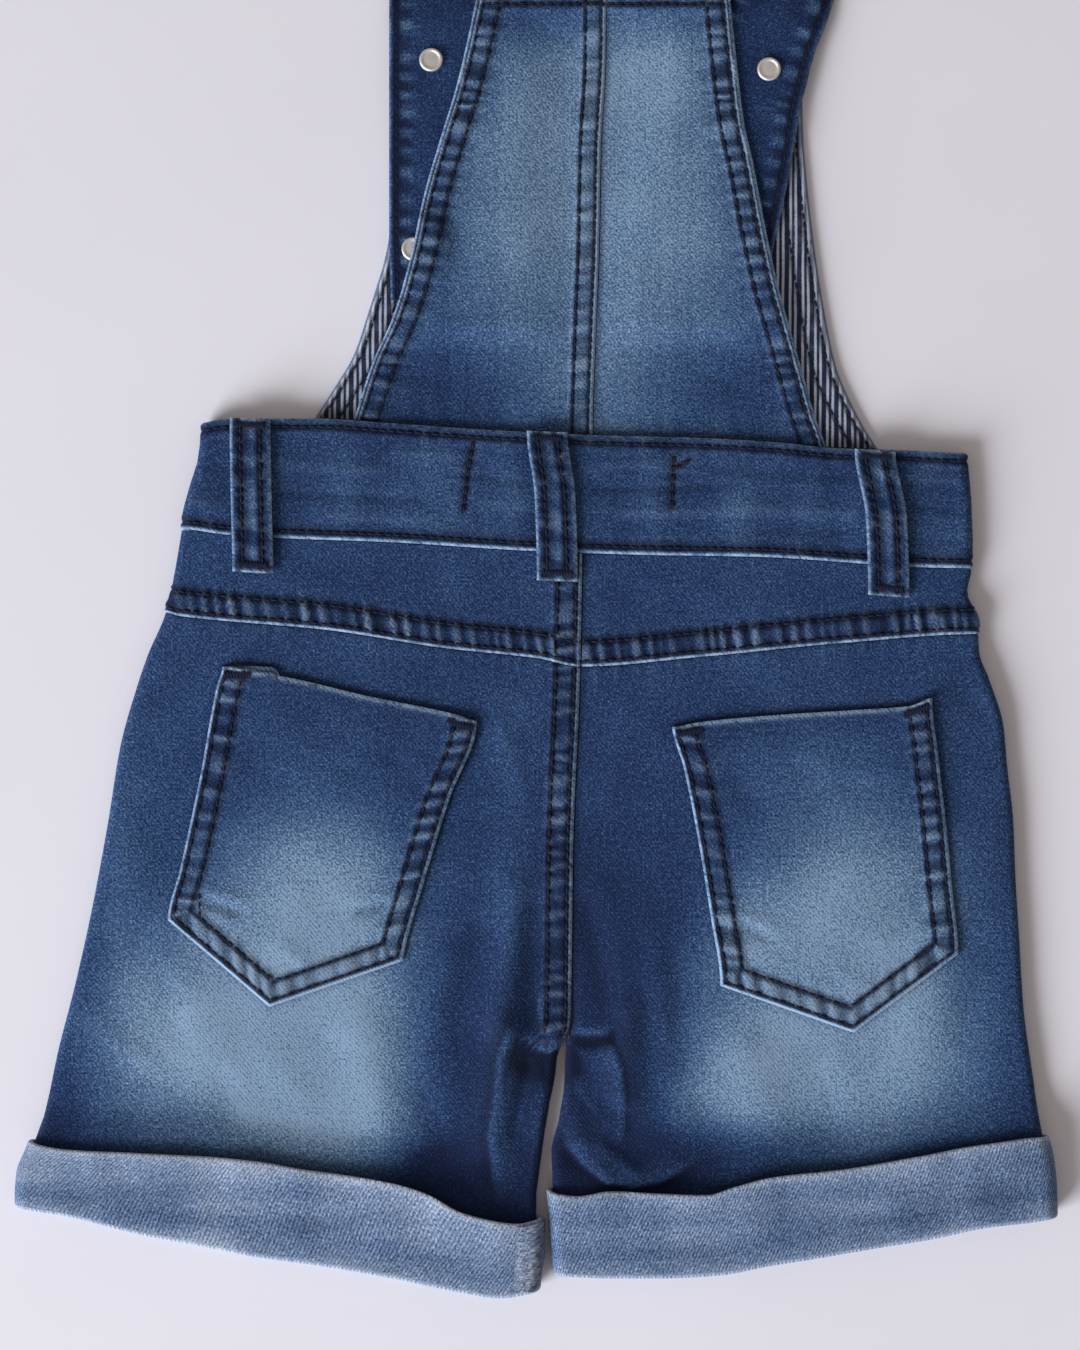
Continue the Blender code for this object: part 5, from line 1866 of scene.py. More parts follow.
        front = Panel(
            "front_bib_cloth", FRONT_BIB_LEFT, FRONT_BIB_RIGHT, front_foot,
            lambda across: np.full_like(across, FRONT_BIB_TOP),
            grid_lines([0.0, 0.5, 1.2, 1.7, 2.4, 4.0, 6.2, 6.9, 7.6, 9.0],
                       [0.0, 0.5, 1.2, 1.7, 2.4, 4.0, 6.2, 6.9, 7.6, 9.0], 44),
            grid_lines([0.0, 0.8], [0.8, 0.0], 46),
            partial(self.front_surface, DENIM_WALL, DENIM_WALL, False),
        )
        lay_panel(front, self.cloth)
        close = close_insets(LINING_HEM.rows, 9.0)
        inner = Panel(
            "front_bib_lining_cloth", FRONT_BIB_LEFT.moved(LINING_INSET),
            FRONT_BIB_RIGHT.moved(-LINING_INSET), front_foot,
            lambda across: np.full_like(across, FRONT_BIB_TOP - LINING_INSET),
            grid_lines(close, close, 60), grid_lines([0.0, 0.8], [0.8, 0.0], 90),
            partial(self.front_surface, LINING_TOP, LINING_WALL, True),
        )
        lay_panel(inner, self.lining)
        below = Sewing("front_bib_stitching", sunk=0.3)
        for inset in LINING_HEM.rows:
            for start, top_share in (((0.0, inset * 1.1), 0.52), ((1.0, -inset * 1.1), 0.84)):
                sewing.run(inner.path((*start, 0.0, 0.6), (*start, top_share, 0.0), 200) - (0, 0, 0.12))
                below.run(front.path((*start, 0.0, 1.0), (*start, 1.0, -1.5), 200, inner=False)
                          + (0, 0, 0.2), facing=-0.2)
        sewing.build(self.thread)
        below.build(self.thread)


@dataclass
class Course:
    """Stops along a strap: middles of its cloth, and the directions across it and of its face."""

    middles: Array
    widths: Array
    faces: Array
    along: Array


@dataclass
class Straps:
    """Shoulder straps, each folded back under itself to lie on the lining of the front bib.

    The puckers of the right side start further on in their pattern, so the sides differ.
    """

    cloth: bpy.types.Material
    thread: bpy.types.Material
    twist: tuple[float, float] = (552.0, 569.0)
    ease: tuple[float, float] = (441.0, 460.0)
    settled: float = 480.0
    fold_steps: int = 14
    upper_stops: int = 110
    lower_stops: int = 140
    ridge_spacing: float = 7.4
    right_start: float = 130.0

    def levels(self, up: float) -> tuple[float, float]:
        """Heights of the underside of the lower and the upper run.

        Args:
            up: The level.

        Returns:
            The height of the lower run and that of the upper one.
        """
        over_lining = LINING_TOP + SEAM_GAP
        lower = over_lining * (1.0 - float(smooth_share(*self.ease, up)))
        at_bib = over_lining + STRAP_WALL + SEAM_GAP
        share = float(smooth_share(BIB_TOP, self.settled, up))
        return lower, at_bib * (1.0 - share) + (STRAP_WALL + SEAM_GAP) * share

    def course(self, strap: Strap) -> Course:
        """Way of a strap from the back bib over its fold to its lower end.

        Args:
            strap: The strap.

        Returns:
            The stops along it.
        """
        fold_across = strap.across(STRAP_FOLD_UP)
        rise = Vector((fold_across - strap.start, STRAP_FOLD_UP - BIB_TOP, 0.0)).normalized()
        below = self.twist[1]
        fall = Vector((strap.across(below) - fold_across, below - STRAP_FOLD_UP, 0.0)).normalized()
        fold_normal = (rise - fall).normalized()
        width_up = Vector((rise.y, -rise.x, 0.0))
        fold_width = Vector((fold_normal.y, -fold_normal.x, 0.0)) / fold_normal.dot(rise)
        half = STRAP_WALL / 2.0
        found: list[tuple[Vector, Vector, Vector]] = []
        for up in np.linspace(BIB_TOP + SEAM_GAP, below, self.upper_stops):
            share = (up - BIB_TOP) / (STRAP_FOLD_UP - BIB_TOP)
            middle = Vector((
                strap.start + (fold_across - strap.start) * share, up, self.levels(up)[1] + half
            ))
            eased = float(smooth_share(BIB_TOP, self.settled, up))
            width = Vector((1.0, 0.0, 0.0)).lerp(width_up, eased)
            width = width.lerp(fold_width, float(smooth_share(*self.twist, up)))
            found.append((middle, width, Vector((0.0, 0.0, 1.0))))
        turn = (STRAP_WALL + SEAM_GAP) / 2.0
        for step in range(self.fold_steps + 1):
            angle = math.pi / 2.0 - math.pi * step / self.fold_steps
            face = fold_normal * math.cos(angle) + Vector((0.0, 0.0, math.sin(angle)))
            centre = Vector((fold_across, STRAP_FOLD_UP, turn + half))
            found.append((centre + face * turn, fold_width, face))
        for up in np.linspace(below, STRAP_END_UP, self.lower_stops):
            slope = (strap.across(up + 4.0) - strap.across(up - 4.0)) / 8.0
            width = Vector((1.0, -slope, 0.0)).normalized()
            width = width.lerp(fold_width, float(smooth_share(*self.twist, up)))
            middle = Vector((strap.across(up), up, self.levels(up)[0] + half))
            found.append((middle, width, Vector((0.0, 0.0, -1.0))))
        middles, widths, faces = (np.array([stop[part] for stop in found]) for part in range(3))
        return Course(middles, widths, faces, distance_along(middles))

    def build_strap(self, strap: Strap, sewing: Sewing) -> None:
        """Build one strap and the stitch rows along its edges.

        Args:
            strap: The strap.
            sewing: Sewing of both straps.
        """
        course = self.course(strap)
        side = [0.0, 0.2, 0.5, 0.9, 1.4, 2.0, 2.6, 3.2, 4.0, 5.0, 6.0, 7.2, 8.5]
        lines = grid_lines(side, side, 12)
        offsets = STRAP_WIDTH * (lines[:, 0] - 0.5) + lines[:, 1]
        shell, column, stop, inner = wall_grid(len(offsets), len(course.middles))
        offset = offsets[column]
        surface = self.surface(course, offset, stop, inner)
        place_vertices(shell, surface.points)
        close_mesh(shell)
        piece = add_object(f"strap_{strap.side.value}_cloth", shell, self.cloth)
        cloth = np.stack((offset, course.along[stop]), axis=1)
        dress_cloth(piece, cloth, np.zeros(len(stop)), surface)
        register(piece, f"strap_{strap.side.value}")
        stops = np.arange(len(course.middles))
        for edge in (-1.0, 1.0):
            offset_row = np.full(len(stops), edge * (STRAP_WIDTH / 2.0 - STRAP_HEM.rows[0]))
            for inner_side in (False, True):
                flags = np.full(len(stops), inner_side)
                points = self.surface(course, offset_row, stops, flags).points
                facing = -course.faces[:, 2] if inner_side else course.faces[:, 2]
                for row in self.part(points, facing > 0.5):
                    sewing.run(row)

    def surface(self, course: Course, offset: Array, stop: Array, inner_side: Array) -> Surface:
        """Surface of a strap.

        Args:
            course: Stops along the strap.
            offset: Distances from its middle line.
            stop: Numbers of the stops.
            inner_side: Whether each place is on the inner side of the cloth.

        Returns:
            The points and what the finish shows at them.
        """
        inset = STRAP_WIDTH / 2.0 - np.abs(offset)
        along = course.along[stop]
        run = along + np.where(offset > 0.0, self.right_start, 0.0)
        height, worn, dark = STRAP_HEM.relief(inset, run)
        even = np.sin(math.tau * (run / self.ridge_spacing + 0.5 * uneven_line(run, 17.0, 173)))
        ridges = np.tanh(1.6 * (0.9 * even + 0.5 * uneven_line(run, 3.6, 174)))
        ridges = ridges * smooth_share(2.9, 4.2, inset) * (1.0 - smooth_share(5.5, 11.0, inset))
        raised = np.clip(height + 0.22 * ridges, -0.55, 0.16)
        out = STRAP_WALL / 2.0 + np.where(raised > 0.0, raised * 0.6, raised)
        out = np.where(inner_side, -out, out)
        points = course.middles[stop] + course.widths[stop] * offset[:, None]
        points = points + course.faces[stop] * out[:, None]
        points[:, 2] = np.maximum(points[:, 2], 0.0)
        wash = 0.20 + 0.09 * uneven_field(offset, along, 8.0, 171)
        wash = wash + 0.05 * uneven_line(along, 24.0, 172) + 0.45 * capped(ridges)
        dark = dark + 0.5 * capped(-ridges)
        return Surface(points, capped(wash), worn * 0.9, capped(dark))

    def part(self, points: Array, shown: Array) -> list[Array]:
        """Parts of a row of points that face up, each as one stretch.

        Args:
            points: Rows of across, up and height.
            shown: Whether each point faces up.

        Returns:
            The stretches with more than a few points.
        """
        stretches: list[Array] = []
        start = None
        for index, flag in enumerate([*shown, False]):
            if flag and start is None:
                start = index
            if not flag and start is not None:
                if index - start > 4:
                    stretches.append(points[start + 1:index - 1])
                start = None
        return stretches

    def build(self) -> None:
        """Build both straps and their sewing."""
        sewing = Sewing("strap_stitching", sunk=0.3)
        for strap in (LEFT_STRAP, RIGHT_STRAP):
            self.build_strap(strap, sewing)
        sewing.build(self.thread)


@dataclass(frozen=True)
class Pocket:
    """Outlines of one five-sided patch pocket."""

    half: Half
    top: Edge
    outer: Edge
    inner: Edge
    bottom: Rows
    turning: Rows = ((0.0, 0.0), (1.0, 0.0))

    def turned(self, across: Array) -> Array:
        """Height by which the end of the turned hem stands out over the opening."""
        places, rises = zip(*self.turning)
        return np.interp(across, places, rises)

    def head(self, across: Array) -> Array:
        """Up of the highest cloth at each place of the opening."""
        return self.top(across) + self.turned(across)

    def left(self, up: Array) -> Array:
        """Across of the left edge at each level."""
        return (self.outer if self.half.side is Side.LEFT else self.inner)(up)

    def right(self, up: Array) -> Array:
        """Across of the right edge at each level."""
        return (self.inner if self.half.side is Side.LEFT else self.outer)(up)

    def foot(self, across: Array) -> Array:
        """Up of the pointed bottom edge at each place."""
        places, levels = zip(*self.bottom)
        return np.interp(across, places, levels)

    def foot_inset(self, across: Array, up: Array) -> Array:
        """Distance from the slanting bottom edge.

        Args:
            across: Places across the garment.
            up: Places up the garment.

        Returns:
            The distance at each place.
        """
        (first, low), (point, tip), (last, high) = self.bottom
        left_slope = math.cos(math.atan2(tip - low, point - first))
        right_slope = math.cos(math.atan2(high - tip, last - point))
        return (up - self.foot(across)) * np.where(across < point, left_slope, right_slope)


POCKETS = (
    Pocket(
        LEFT_HALF,
        Edge(((-119, 217.2), (-97, 214.1), (-67, 207.2), (-37, 201.0), (-29, 198.6))),
        Edge(((100, -132.0), (130, -135.9), (148, -131.7), (180, -124.8), (211, -119.0),
              (217, -117.2))),
        Edge(((100, -57.0), (116, -55.2), (143, -47.9), (172, -39.0), (198, -29.7))),
        ((-136, 130.3), (-101, 100.3), (-55, 116.2)),
        ((-117.5, 0.0), (-112, 1.0), (-98.8, 2.7), (-97.4, 0.0)),
    ),
    Pocket(
        RIGHT_HALF,
        Edge(((37, 196.6), (47, 198.3), (73, 200.7), (100, 202.4), (119, 203.8), (127, 206.6))),
        Edge(((91, 135.9), (119, 135.9), (141, 133.8), (164, 131.7), (187, 129.0), (207, 126.9))),
        Edge(((91, 52.0), (108, 54.1), (132, 50.7), (161, 45.9), (183, 41.4), (197, 37.6))),
        ((54, 107.6), (100, 91.4), (136, 118.6)),
    ),
)


def pocket_shade(across: Array, up: Array) -> Array:
    """Painted shadow on the legs round the edges of the pockets.

    Args:
        across: Places across the garment.
        up: Places up the garment.

    Returns:
        The painted shade, which is greatest above the openings.
    """
    total = np.zeros_like(up)
    for pocket in POCKETS:
        above = up - pocket.head(across)
        beside = np.maximum(pocket.left(up) - across, across - pocket.right(up))
        beside = np.maximum(beside, -pocket.foot_inset(across, up))
        near = hump(np.maximum(np.maximum(above, beside), 0.0), 1.3)
        total = np.maximum(total, near * np.where(above > beside, 0.8, 0.34))
    return total


POCKET_SIDE = SewnEdge(rows=(1.9, 7.8), width=8.7, raised=0.55, rope=1.15, line=0.85, wave=6.5,
                       seed=181)
POCKET_CREASES = (
    Crease((-122, 136), (-112, 133), 1.8, -0.7),
    Crease((-121, 140), (-110, 137), 2.2, 0.5),
    Crease((-70, 133), (-61, 135), 1.8, -0.6),
    Crease((-71, 137), (-62, 139), 2.0, 0.4),
    Crease((-100, 186), (-76, 178), 4.0, 0.4),
    Crease((-60, 186), (-48, 176), 3.5, -0.35),
    Crease((-96, 120), (-84, 112), 3.0, 0.4),
    Crease((60, 128), (70, 124), 2.0, -0.5),
    Crease((61, 132), (72, 128), 2.2, 0.4),
    Crease((110, 122), (124, 128), 2.4, 0.4),
    Crease((84, 186), (104, 182), 4.0, 0.35),
    Crease((58, 180), (66, 168), 3.5, -0.3),
    Crease((96, 112), (106, 106), 2.6, 0.35),
)


@dataclass
class PatchPockets:
    """Two patch pockets on the back, sewn on with two rows along the sides and the point.

    The puckers of the right side start further on in their pattern, so the sides differ.
    """

    cloth: bpy.types.Material
    thread: bpy.types.Material
    slack: float = 0.9
    hem: float = 26.0
    right_start: float = 47.0

    def surface(self, pocket: Pocket, across: Array, up: Array, inner_side: bool) -> Surface:
        """Surface of one pocket.

        Args:
            pocket: Outlines of the pocket.
            across: Places across the garment.
            up: Places up the garment.
            inner_side: Whether to give the inner side of the cloth instead of its face.

        Returns:
            The points and what the finish shows at them.
        """
        left, right = across - pocket.left(up), pocket.right(up) - across
        foot, drop = pocket.foot_inset(across, up), pocket.head(across) - up
        seam = pocket.top(across) - up
        behind = smooth_share(0.1, 0.7, -seam) * smooth_share(0.2, 0.9, pocket.turned(across))
        side = np.minimum(left, right) * 0.985
        inset = np.minimum(side, foot)
        shift = np.where(left < right, 0.0, self.right_start)
        run = np.where(side < foot, up + shift, across)
        height, worn, dark = POCKET_SIDE.relief(inset, run)
        head = smooth_share(0.0, 0.9, drop)
        height = np.minimum(height, 0.55 * head + 0.5) - 0.3 * (1.0 - head)
        height = height + 0.35 * (1.0 - smooth_share(self.hem - 0.6, self.hem + 1.4, drop))
        imprint = hump(drop - self.hem, 1.5)
        height = height - 0.12 * imprint - 0.5 * behind
        speck = uneven_line(across, 1.3, 191)
        worn = np.maximum(worn, (0.85 + 0.2 * speck) * hump(drop - 0.5, 0.9))
        worn = worn + 0.03 * hump(drop - self.hem + 1.6, 1.3)
        folded = smooth_share(0.2, 1.2, pocket.turned(across))
        worn = np.maximum(worn, 0.8 * folded * hump(seam - 0.5, 0.8)) * (1.0 - 0.5 * behind)
        # Painted shade in the gap under the turned end of the hem
        dark = dark + 0.9 * folded * hump(-seam - 0.6, 0.8)
        dark = dark + 0.08 * imprint + 0.12 * (1.0 - smooth_share(1.0, 14.0, drop))
        shares = (capped(left / np.maximum(left + right, 1.0)),
                  capped((up - pocket.foot(across)) / np.maximum(
                      pocket.top(across) - pocket.foot(across), 1.0)))
        give = self.slack * np.sin(math.pi * shares[0]) * np.sin(math.pi * shares[1])
        folds = sum(crease.rise(across, up) for crease in POCKET_CREASES)
        folds = folds + 0.14 * uneven_field(across, up, 12.0, 192)
        folds = folds * smooth_share(6.0, 11.0, inset)
        out = LAID_GAP + give
        if not inner_side:
            out = out + DENIM_WALL + height + folds
        points = FORM.point(pocket.half, across, up, out, True)
        # Painted highlight on the crease ridges and painted shade in their troughs
        wash = FORM.wash(across, up) + 0.05 * np.clip(folds, -0.5, 0.6)
        dark = dark + 0.4 * np.clip(-folds, 0.0, 0.6) * smooth_share(6.0, 11.0, inset)
        return Surface(points, capped(wash), capped(worn), capped(dark))

    def build(self) -> None:
        """Build both pockets, their stitch rows and the bar tacks at their openings."""
        sewing = Sewing("pocket_stitching")
        reach = close_insets(POCKET_SIDE.rows, 11.0)
        for pocket in POCKETS:
            name = pocket.half.side.value
            panel = Panel(
                f"back_pocket_{name}_cloth", pocket.left, pocket.right, pocket.foot, pocket.head,
                grid_lines(reach, reach, 50),
                grid_lines([value * 1.25 for value in reach], [0.0, 0.3, 0.6, 1.0, 1.6, 2.6, 4.0], 58),
                partial(self.surface, pocket),
            )
            lay_panel(panel, self.cloth)
            for inset in POCKET_SIDE.rows:
                sewing.run(self.seam(pocket, panel, inset))
            for corner in ((0.0, 1.0), (1.0, -1.0)):
                ends = panel.path((corner[0], corner[1] * 1.5, 1.0, -2.8),
                                  (corner[0], corner[1] * 10.0, 1.0, -2.8), 12)
                sewing.tack(ends[0] + (0, 0, 0.55), ends[-1] + (0, 0, 0.4), 3.0)
        sewing.build(self.thread)

    def seam(self, pocket: Pocket, panel: Panel, inset: float) -> Array:
        """Stitch row down one side, round the point and up the other side.

        Args:
            pocket: Outlines of the pocket.
            panel: Its panel.
            inset: Distance from the edge.

        Returns:
            Rows of across, up and height in millimetres.
        """
        (first, low), (point, tip), (last, high) = pocket.bottom
        left_rise = inset / math.cos(math.atan2(tip - low, point - first))
        right_rise = inset / math.cos(math.atan2(high - tip, last - point))
        steps = np.linspace(0.0, 1.0, 120)
        levels = pocket.top(np.full(120, first)) - 0.8
        corner_up = low + left_rise + inset * 0.4
        left_up = levels * (1.0 - steps) + corner_up * steps
        left = np.stack((pocket.left(left_up) + inset, left_up), axis=1)
        turn = np.linspace(left[-1, 0], point, 60)
        first_leg = np.stack((turn, pocket.foot(turn) + left_rise), axis=1)
        middle_up = max(left_rise, right_rise) * 0.5 + min(left_rise, right_rise) * 0.5 + tip
        ahead = np.linspace(point, last, 60)
        second_leg = np.stack((ahead, pocket.foot(ahead) + right_rise), axis=1)
        second_leg = second_leg[second_leg[:, 0] < pocket.right(second_leg[:, 1]) - inset]
        right_up = np.linspace(second_leg[-1, 1] + 0.4, float(pocket.top(np.array([last]))[0]) - 0.8, 120)
        right = np.stack((pocket.right(right_up) - inset, right_up), axis=1)
        first_leg = first_leg[first_leg[:, 1] > middle_up - 0.01]
        second_leg = second_leg[second_leg[:, 1] > middle_up - 0.01]
        row = np.concatenate((left, first_leg, second_leg, right))
        row = row[pocket.top(row[:, 0]) - row[:, 1] > 0.6]
        return self.surface(pocket, row[:, 0], row[:, 1], False).points


@dataclass(frozen=True)
class Loop:
    """Centre line of one belt loop, at its top, its middle and its foot."""

    name: str
    half: Half
    top: tuple[float, float]
    middle: tuple[float, float]
    foot: tuple[float, float]

    def centre(self, up: Array) -> Array:
        """Across of the centre line at each level."""
        return Edge(tuple((up, across) for across, up in (self.foot, self.middle, self.top)))(up)

    def end(self, across: Array, point: tuple[float, float]) -> Array:
        """Up of the end at a point of the centre line, level with the waistband, at each place."""
        return point[1] + BAND_BOTTOM(across) - BAND_BOTTOM(np.array(point[:1]))

    def foot_end(self, across: Array) -> Array:
        """Up of the lower end at each place."""
        return self.end(across, self.foot)

    def top_end(self, across: Array) -> Array:
        """Up of the upper end at each place."""
        return self.end(across, self.top)


LOOPS = (
    Loop("left", LEFT_HALF, (-107.6, 302.6), (-107.2, 276.0), (-106.7, 249.7)),
    Loop("centre", LEFT_HALF, (-5.5, 298.2), (-2.8, 276.0), (-2.0, 246.8)),
    Loop("right", RIGHT_HALF, (107.3, 291.8), (111.0, 269.0), (112.0, 241.6)),
)
LOOP_SIDE = SewnEdge(rows=(3.6,), width=5.4, raised=0.25, rope=1.6, worn=0.75, line=0.8, wave=5.5,
                     seed=201, roll=0.5, shadow=1.25)


@dataclass
class BeltLoops:
    """Belt loops, each tacked down at both ends over the back waistband.

    The puckers of the right side start further on in their pattern, so the sides differ.
    """

    cloth: bpy.types.Material
    thread: bpy.types.Material
    width: float = 14.0
    wall: float = 1.3
    arch: float = 0.8
    right_start: float = 31.0

    def build(self) -> None:
        """Build the loops, their stitch rows and their bar tacks."""
        sewing = Sewing("belt_loop_stitching", thickness=0.9)
        for loop in LOOPS:
            self.build_loop(loop, sewing)
        sewing.build(self.thread)

    def surface(self, loop: Loop, across: Array, up: Array, inner_side: bool) -> Surface:
        """Surface of one loop.

        Args:
            loop: The loop.
            across: Places across the garment.
            up: Places up the garment.
            inner_side: Whether to give the inner side of the cloth instead of its face.

        Returns:
            The points and what the finish shows at them.
        """
        foot, head, centre = loop.foot_end(across), loop.top_end(across), loop.centre(up)
        inset = self.width / 2.0 - np.abs(across - centre)
        share = (up - foot) / (head - foot)
        run = up + np.where(across > centre, self.right_start, 0.0)
        height, worn, dark = LOOP_SIDE.relief(inset, run)
        ends = np.minimum(up - foot, head - up)
        arch = self.arch * np.sin(math.pi * capped((share - 0.12) / 0.88))
        pressed = hump(ends - 2.5, 2.0)
        height = height - 0.35 * pressed - 0.4 * (1.0 - smooth_share(0.0, 0.8, ends))
        out = 2.0 * SEAM_GAP + 0.7 + arch
        if not inner_side:
            out = out + self.wall + height
        middle = hump(across - centre, 2.4)
        rungs = uneven_line(up + 0.3 * across, 3.4, 213)
        middle = middle * (0.55 + 0.75 * rungs)
        wash = 0.34 + 0.06 * middle + 0.08 * uneven_field(across, up, 5.0, 211) + 0.07 * rungs
        ragged = 0.6 + 0.5 * uneven_line(across, 1.6, 212)
        worn = worn + ragged * hump(ends, 0.8) + 0.22 * middle
        dark = dark + 0.45 * pressed + 0.45 * hump(inset - 3.6, 1.5)
        dark = dark + 0.30 * capped(-rungs)
        points = FORM.point(loop.half, across, up, out, True, whole_width=True)
        return Surface(points, capped(wash), capped(worn), capped(dark))

    def build_loop(self, loop: Loop, sewing: Sewing) -> None:
        """Build one loop.

        Args:
            loop: The loop.
            sewing: Sewing of all the loops.
        """
        half_width = self.width / 2.0
        insets = [0.0, 0.3, 0.7, 1.2, 1.9, 2.7, 3.2, 3.6, 4.0, 4.6, 5.4]
        ends = [0.0, 0.4, 0.9, 1.6, 2.4, 3.2, 4.0]
        panel = Panel(
            f"belt_loop_{loop.name}_cloth",
            lambda up: loop.centre(up) - half_width, lambda up: loop.centre(up) + half_width,
            loop.foot_end, loop.top_end,
            grid_lines(insets, insets, 4),
            grid_lines(ends, ends, 60), partial(self.surface, loop),
        )
        lay_panel(panel, self.cloth)
        row = LOOP_SIDE.rows[0]
        for share, shift in ((0.0, row), (1.0, -row)):
            sewing.run(panel.path((share, shift, 0.0, 2.8), (share, shift, 1.0, -2.8), 120))
        for share, shift in ((0.0, 2.7), (1.0, -2.3)):
            ends = panel.path((0.0, 2.4, share, shift), (1.0, -2.4, share, shift), 30)
            for start, end in zip(ends[:-1:10], ends[10::10]):
                sewing.tack(start + (0, 0, 0.3), end + (0, 0, 0.3), 2.4)


@dataclass
class Studs:
    """Plain domed studs that fasten the ends of the straps."""

    metal: bpy.types.Material
    sides: int = 48
    outline: Rows = (
        (0.0, 0.0), (0.90, 0.0), (0.97, 0.08), (1.0, 0.28), (1.0, 0.5), (0.985, 0.68), (0.95, 0.84),
        (0.90, 0.95), (0.84, 1.0), (0.78, 0.97), (0.73, 0.88), (0.69, 0.78), (0.62, 0.73),
        (0.45, 0.76), (0.25, 0.80), (0.0, 0.82),
    )

    def build(self) -> None:
        """Build the three studs, each a full turn of its outline."""
        strap_top = LINING_TOP + SEAM_GAP + STRAP_WALL
        for name, (across, up) in STUDS.items():
            stud = bmesh.new()
            bmesh.ops.create_grid(stud, x_segments=len(self.outline) - 1, y_segments=1, size=0.5)
            low = [vertex for vertex in stud.verts if vertex.co.y > 0.0]
            bmesh.ops.delete(stud, geom=low, context="VERTS")
            count = len(self.outline) - 1
            for vertex in stud.verts:
                share, rise = self.outline[round((vertex.co.x + 0.5) * count)]
                vertex.co = (share * STUD_RADIUS, 0.0, rise * STUD_HEIGHT)
            bmesh.ops.spin(
                stud, geom=stud.verts[:] + stud.edges[:], cent=(0.0, 0.0, 0.0),
                axis=(0.0, 0.0, 1.0), angle=math.tau, steps=self.sides, use_merge=True,
            )
            bmesh.ops.remove_doubles(stud, verts=stud.verts[:], dist=0.001)
            centre = to_frame(np.array([(across, up, strap_top + SEAM_GAP)]))[0]
            bmesh.ops.scale(stud, verts=stud.verts[:], vec=(METRES_PER_MM,) * 3)
            bmesh.ops.translate(stud, verts=stud.verts[:], vec=tuple(centre))
            close_mesh(stud)
            piece = add_object(f"stud_{name}_cap", stud, self.metal, sharp=50.0)
            register(piece, f"stud_{name}")


def linear(hex_colour: str) -> tuple[float, float, float, float]:
    """Turn an sRGB hex colour to linear values for a shader.

    Args:
        hex_colour: Colour such as "#46628a".

    Returns:
        Linear red, green, blue and an alpha of 1.
    """
    values = [int(hex_colour[place:place + 2], 16) / 255.0 for place in (1, 3, 5)]
    bent = [v / 12.92 if v <= 0.04045 else ((v + 0.055) / 1.055) ** 2.4 for v in values]
    return (*bent, 1.0)


def add_node(tree: bpy.types.NodeTree, kind: str, settings: dict, inputs: dict) -> bpy.types.Node:
    """Add a node, set its properties and fill or link its inputs.

    Args:
        tree: Node tree of the material.
        kind: Type of the node.
        settings: Its properties by name.
        inputs: Its inputs by name or number: a value, or the output socket to link.

    Returns:
        The new node.
    """
    node = tree.nodes.new(kind)
    for name, value in settings.items():
        setattr(node, name, value)
    for name, value in inputs.items():
        if isinstance(value, bpy.types.NodeSocket):
            tree.links.new(value, node.inputs[name])
        else:
            node.inputs[name].default_value = value
    return node


def new_material(name: str) -> tuple[bpy.types.Material, bpy.types.NodeTree]:
    """Make an empty material.

    Args:
        name: Name of the finish.

    Returns:
        The material and its node tree.
    """
    material = bpy.data.materials.new(name)
    material.use_nodes = True
    material.node_tree.nodes.clear()
    return material, material.node_tree


def amount(tree: bpy.types.NodeTree, kind: str, *values: object, clamp: bool = False) -> object:
    """One step of arithmetic in a material.

    Args:
        tree: Node tree.
        kind: Operation, as Blender names it.
        values: Its values or sockets, in order.
        clamp: Whether the result is kept between 0 and 1.

    Returns:
        The socket of the result.
    """
    settings = {"operation": kind, "use_clamp": clamp}
    return add_node(tree, "ShaderNodeMath", settings, dict(enumerate(values))).outputs[0]


def noise(
    tree: bpy.types.NodeTree, place: object, size: tuple[float, float], detail: float = 2.0
) -> object:
    """Noise from -0.5 to 0.5 whose patches have a size in millimetres.

    Args:
        tree: Node tree.
        place: Socket of the place on the cloth.
        size: Width and length of a patch.
        detail: Levels of finer noise in it.

    Returns:
        The socket of the noise.
    """
    scale = (1.0 / size[0], 1.0 / size[1], 7.3)
    scaled = add_node(tree, "ShaderNodeMapping", {}, {0: place, "Scale": scale}).outputs[0]
    texture = add_node(
        tree, "ShaderNodeTexNoise", {}, {"Vector": scaled, "Scale": 1.0, "Detail": detail}
    )
    return amount(tree, "SUBTRACT", texture.outputs[0], 0.5)


def mix(tree: bpy.types.NodeTree, share: object, first: object, second: object) -> object:
    """Mix two colours.

    Args:
        tree: Node tree.
        share: Share of the second colour.
        first: First colour.
        second: Second colour.

    Returns:
        The socket of the mixed colour.
    """
    settings = {"data_type": "RGBA", "clamp_factor": True}
    return add_node(tree, "ShaderNodeMix", settings, {0: share, 6: first, 7: second}).outputs[2]


def read_cloth(tree: bpy.types.NodeTree) -> tuple[object, object, object]:
    """Read what the cloth pieces carry for their finishes.

    Args:
        tree: Node tree.

    Returns:
        The place on the cloth, its three values, and the wash, worn and dark shares.
    """
    place, marks = (
        add_node(tree, "ShaderNodeAttribute", {"attribute_name": name}, {}).outputs["Vector"]
        for name in ("cloth", "marks")
    )
    values, shares = (
        add_node(tree, "ShaderNodeSeparateXYZ", {}, {0: vector}).outputs for vector in (place, marks)
    )
    return place, values, shares


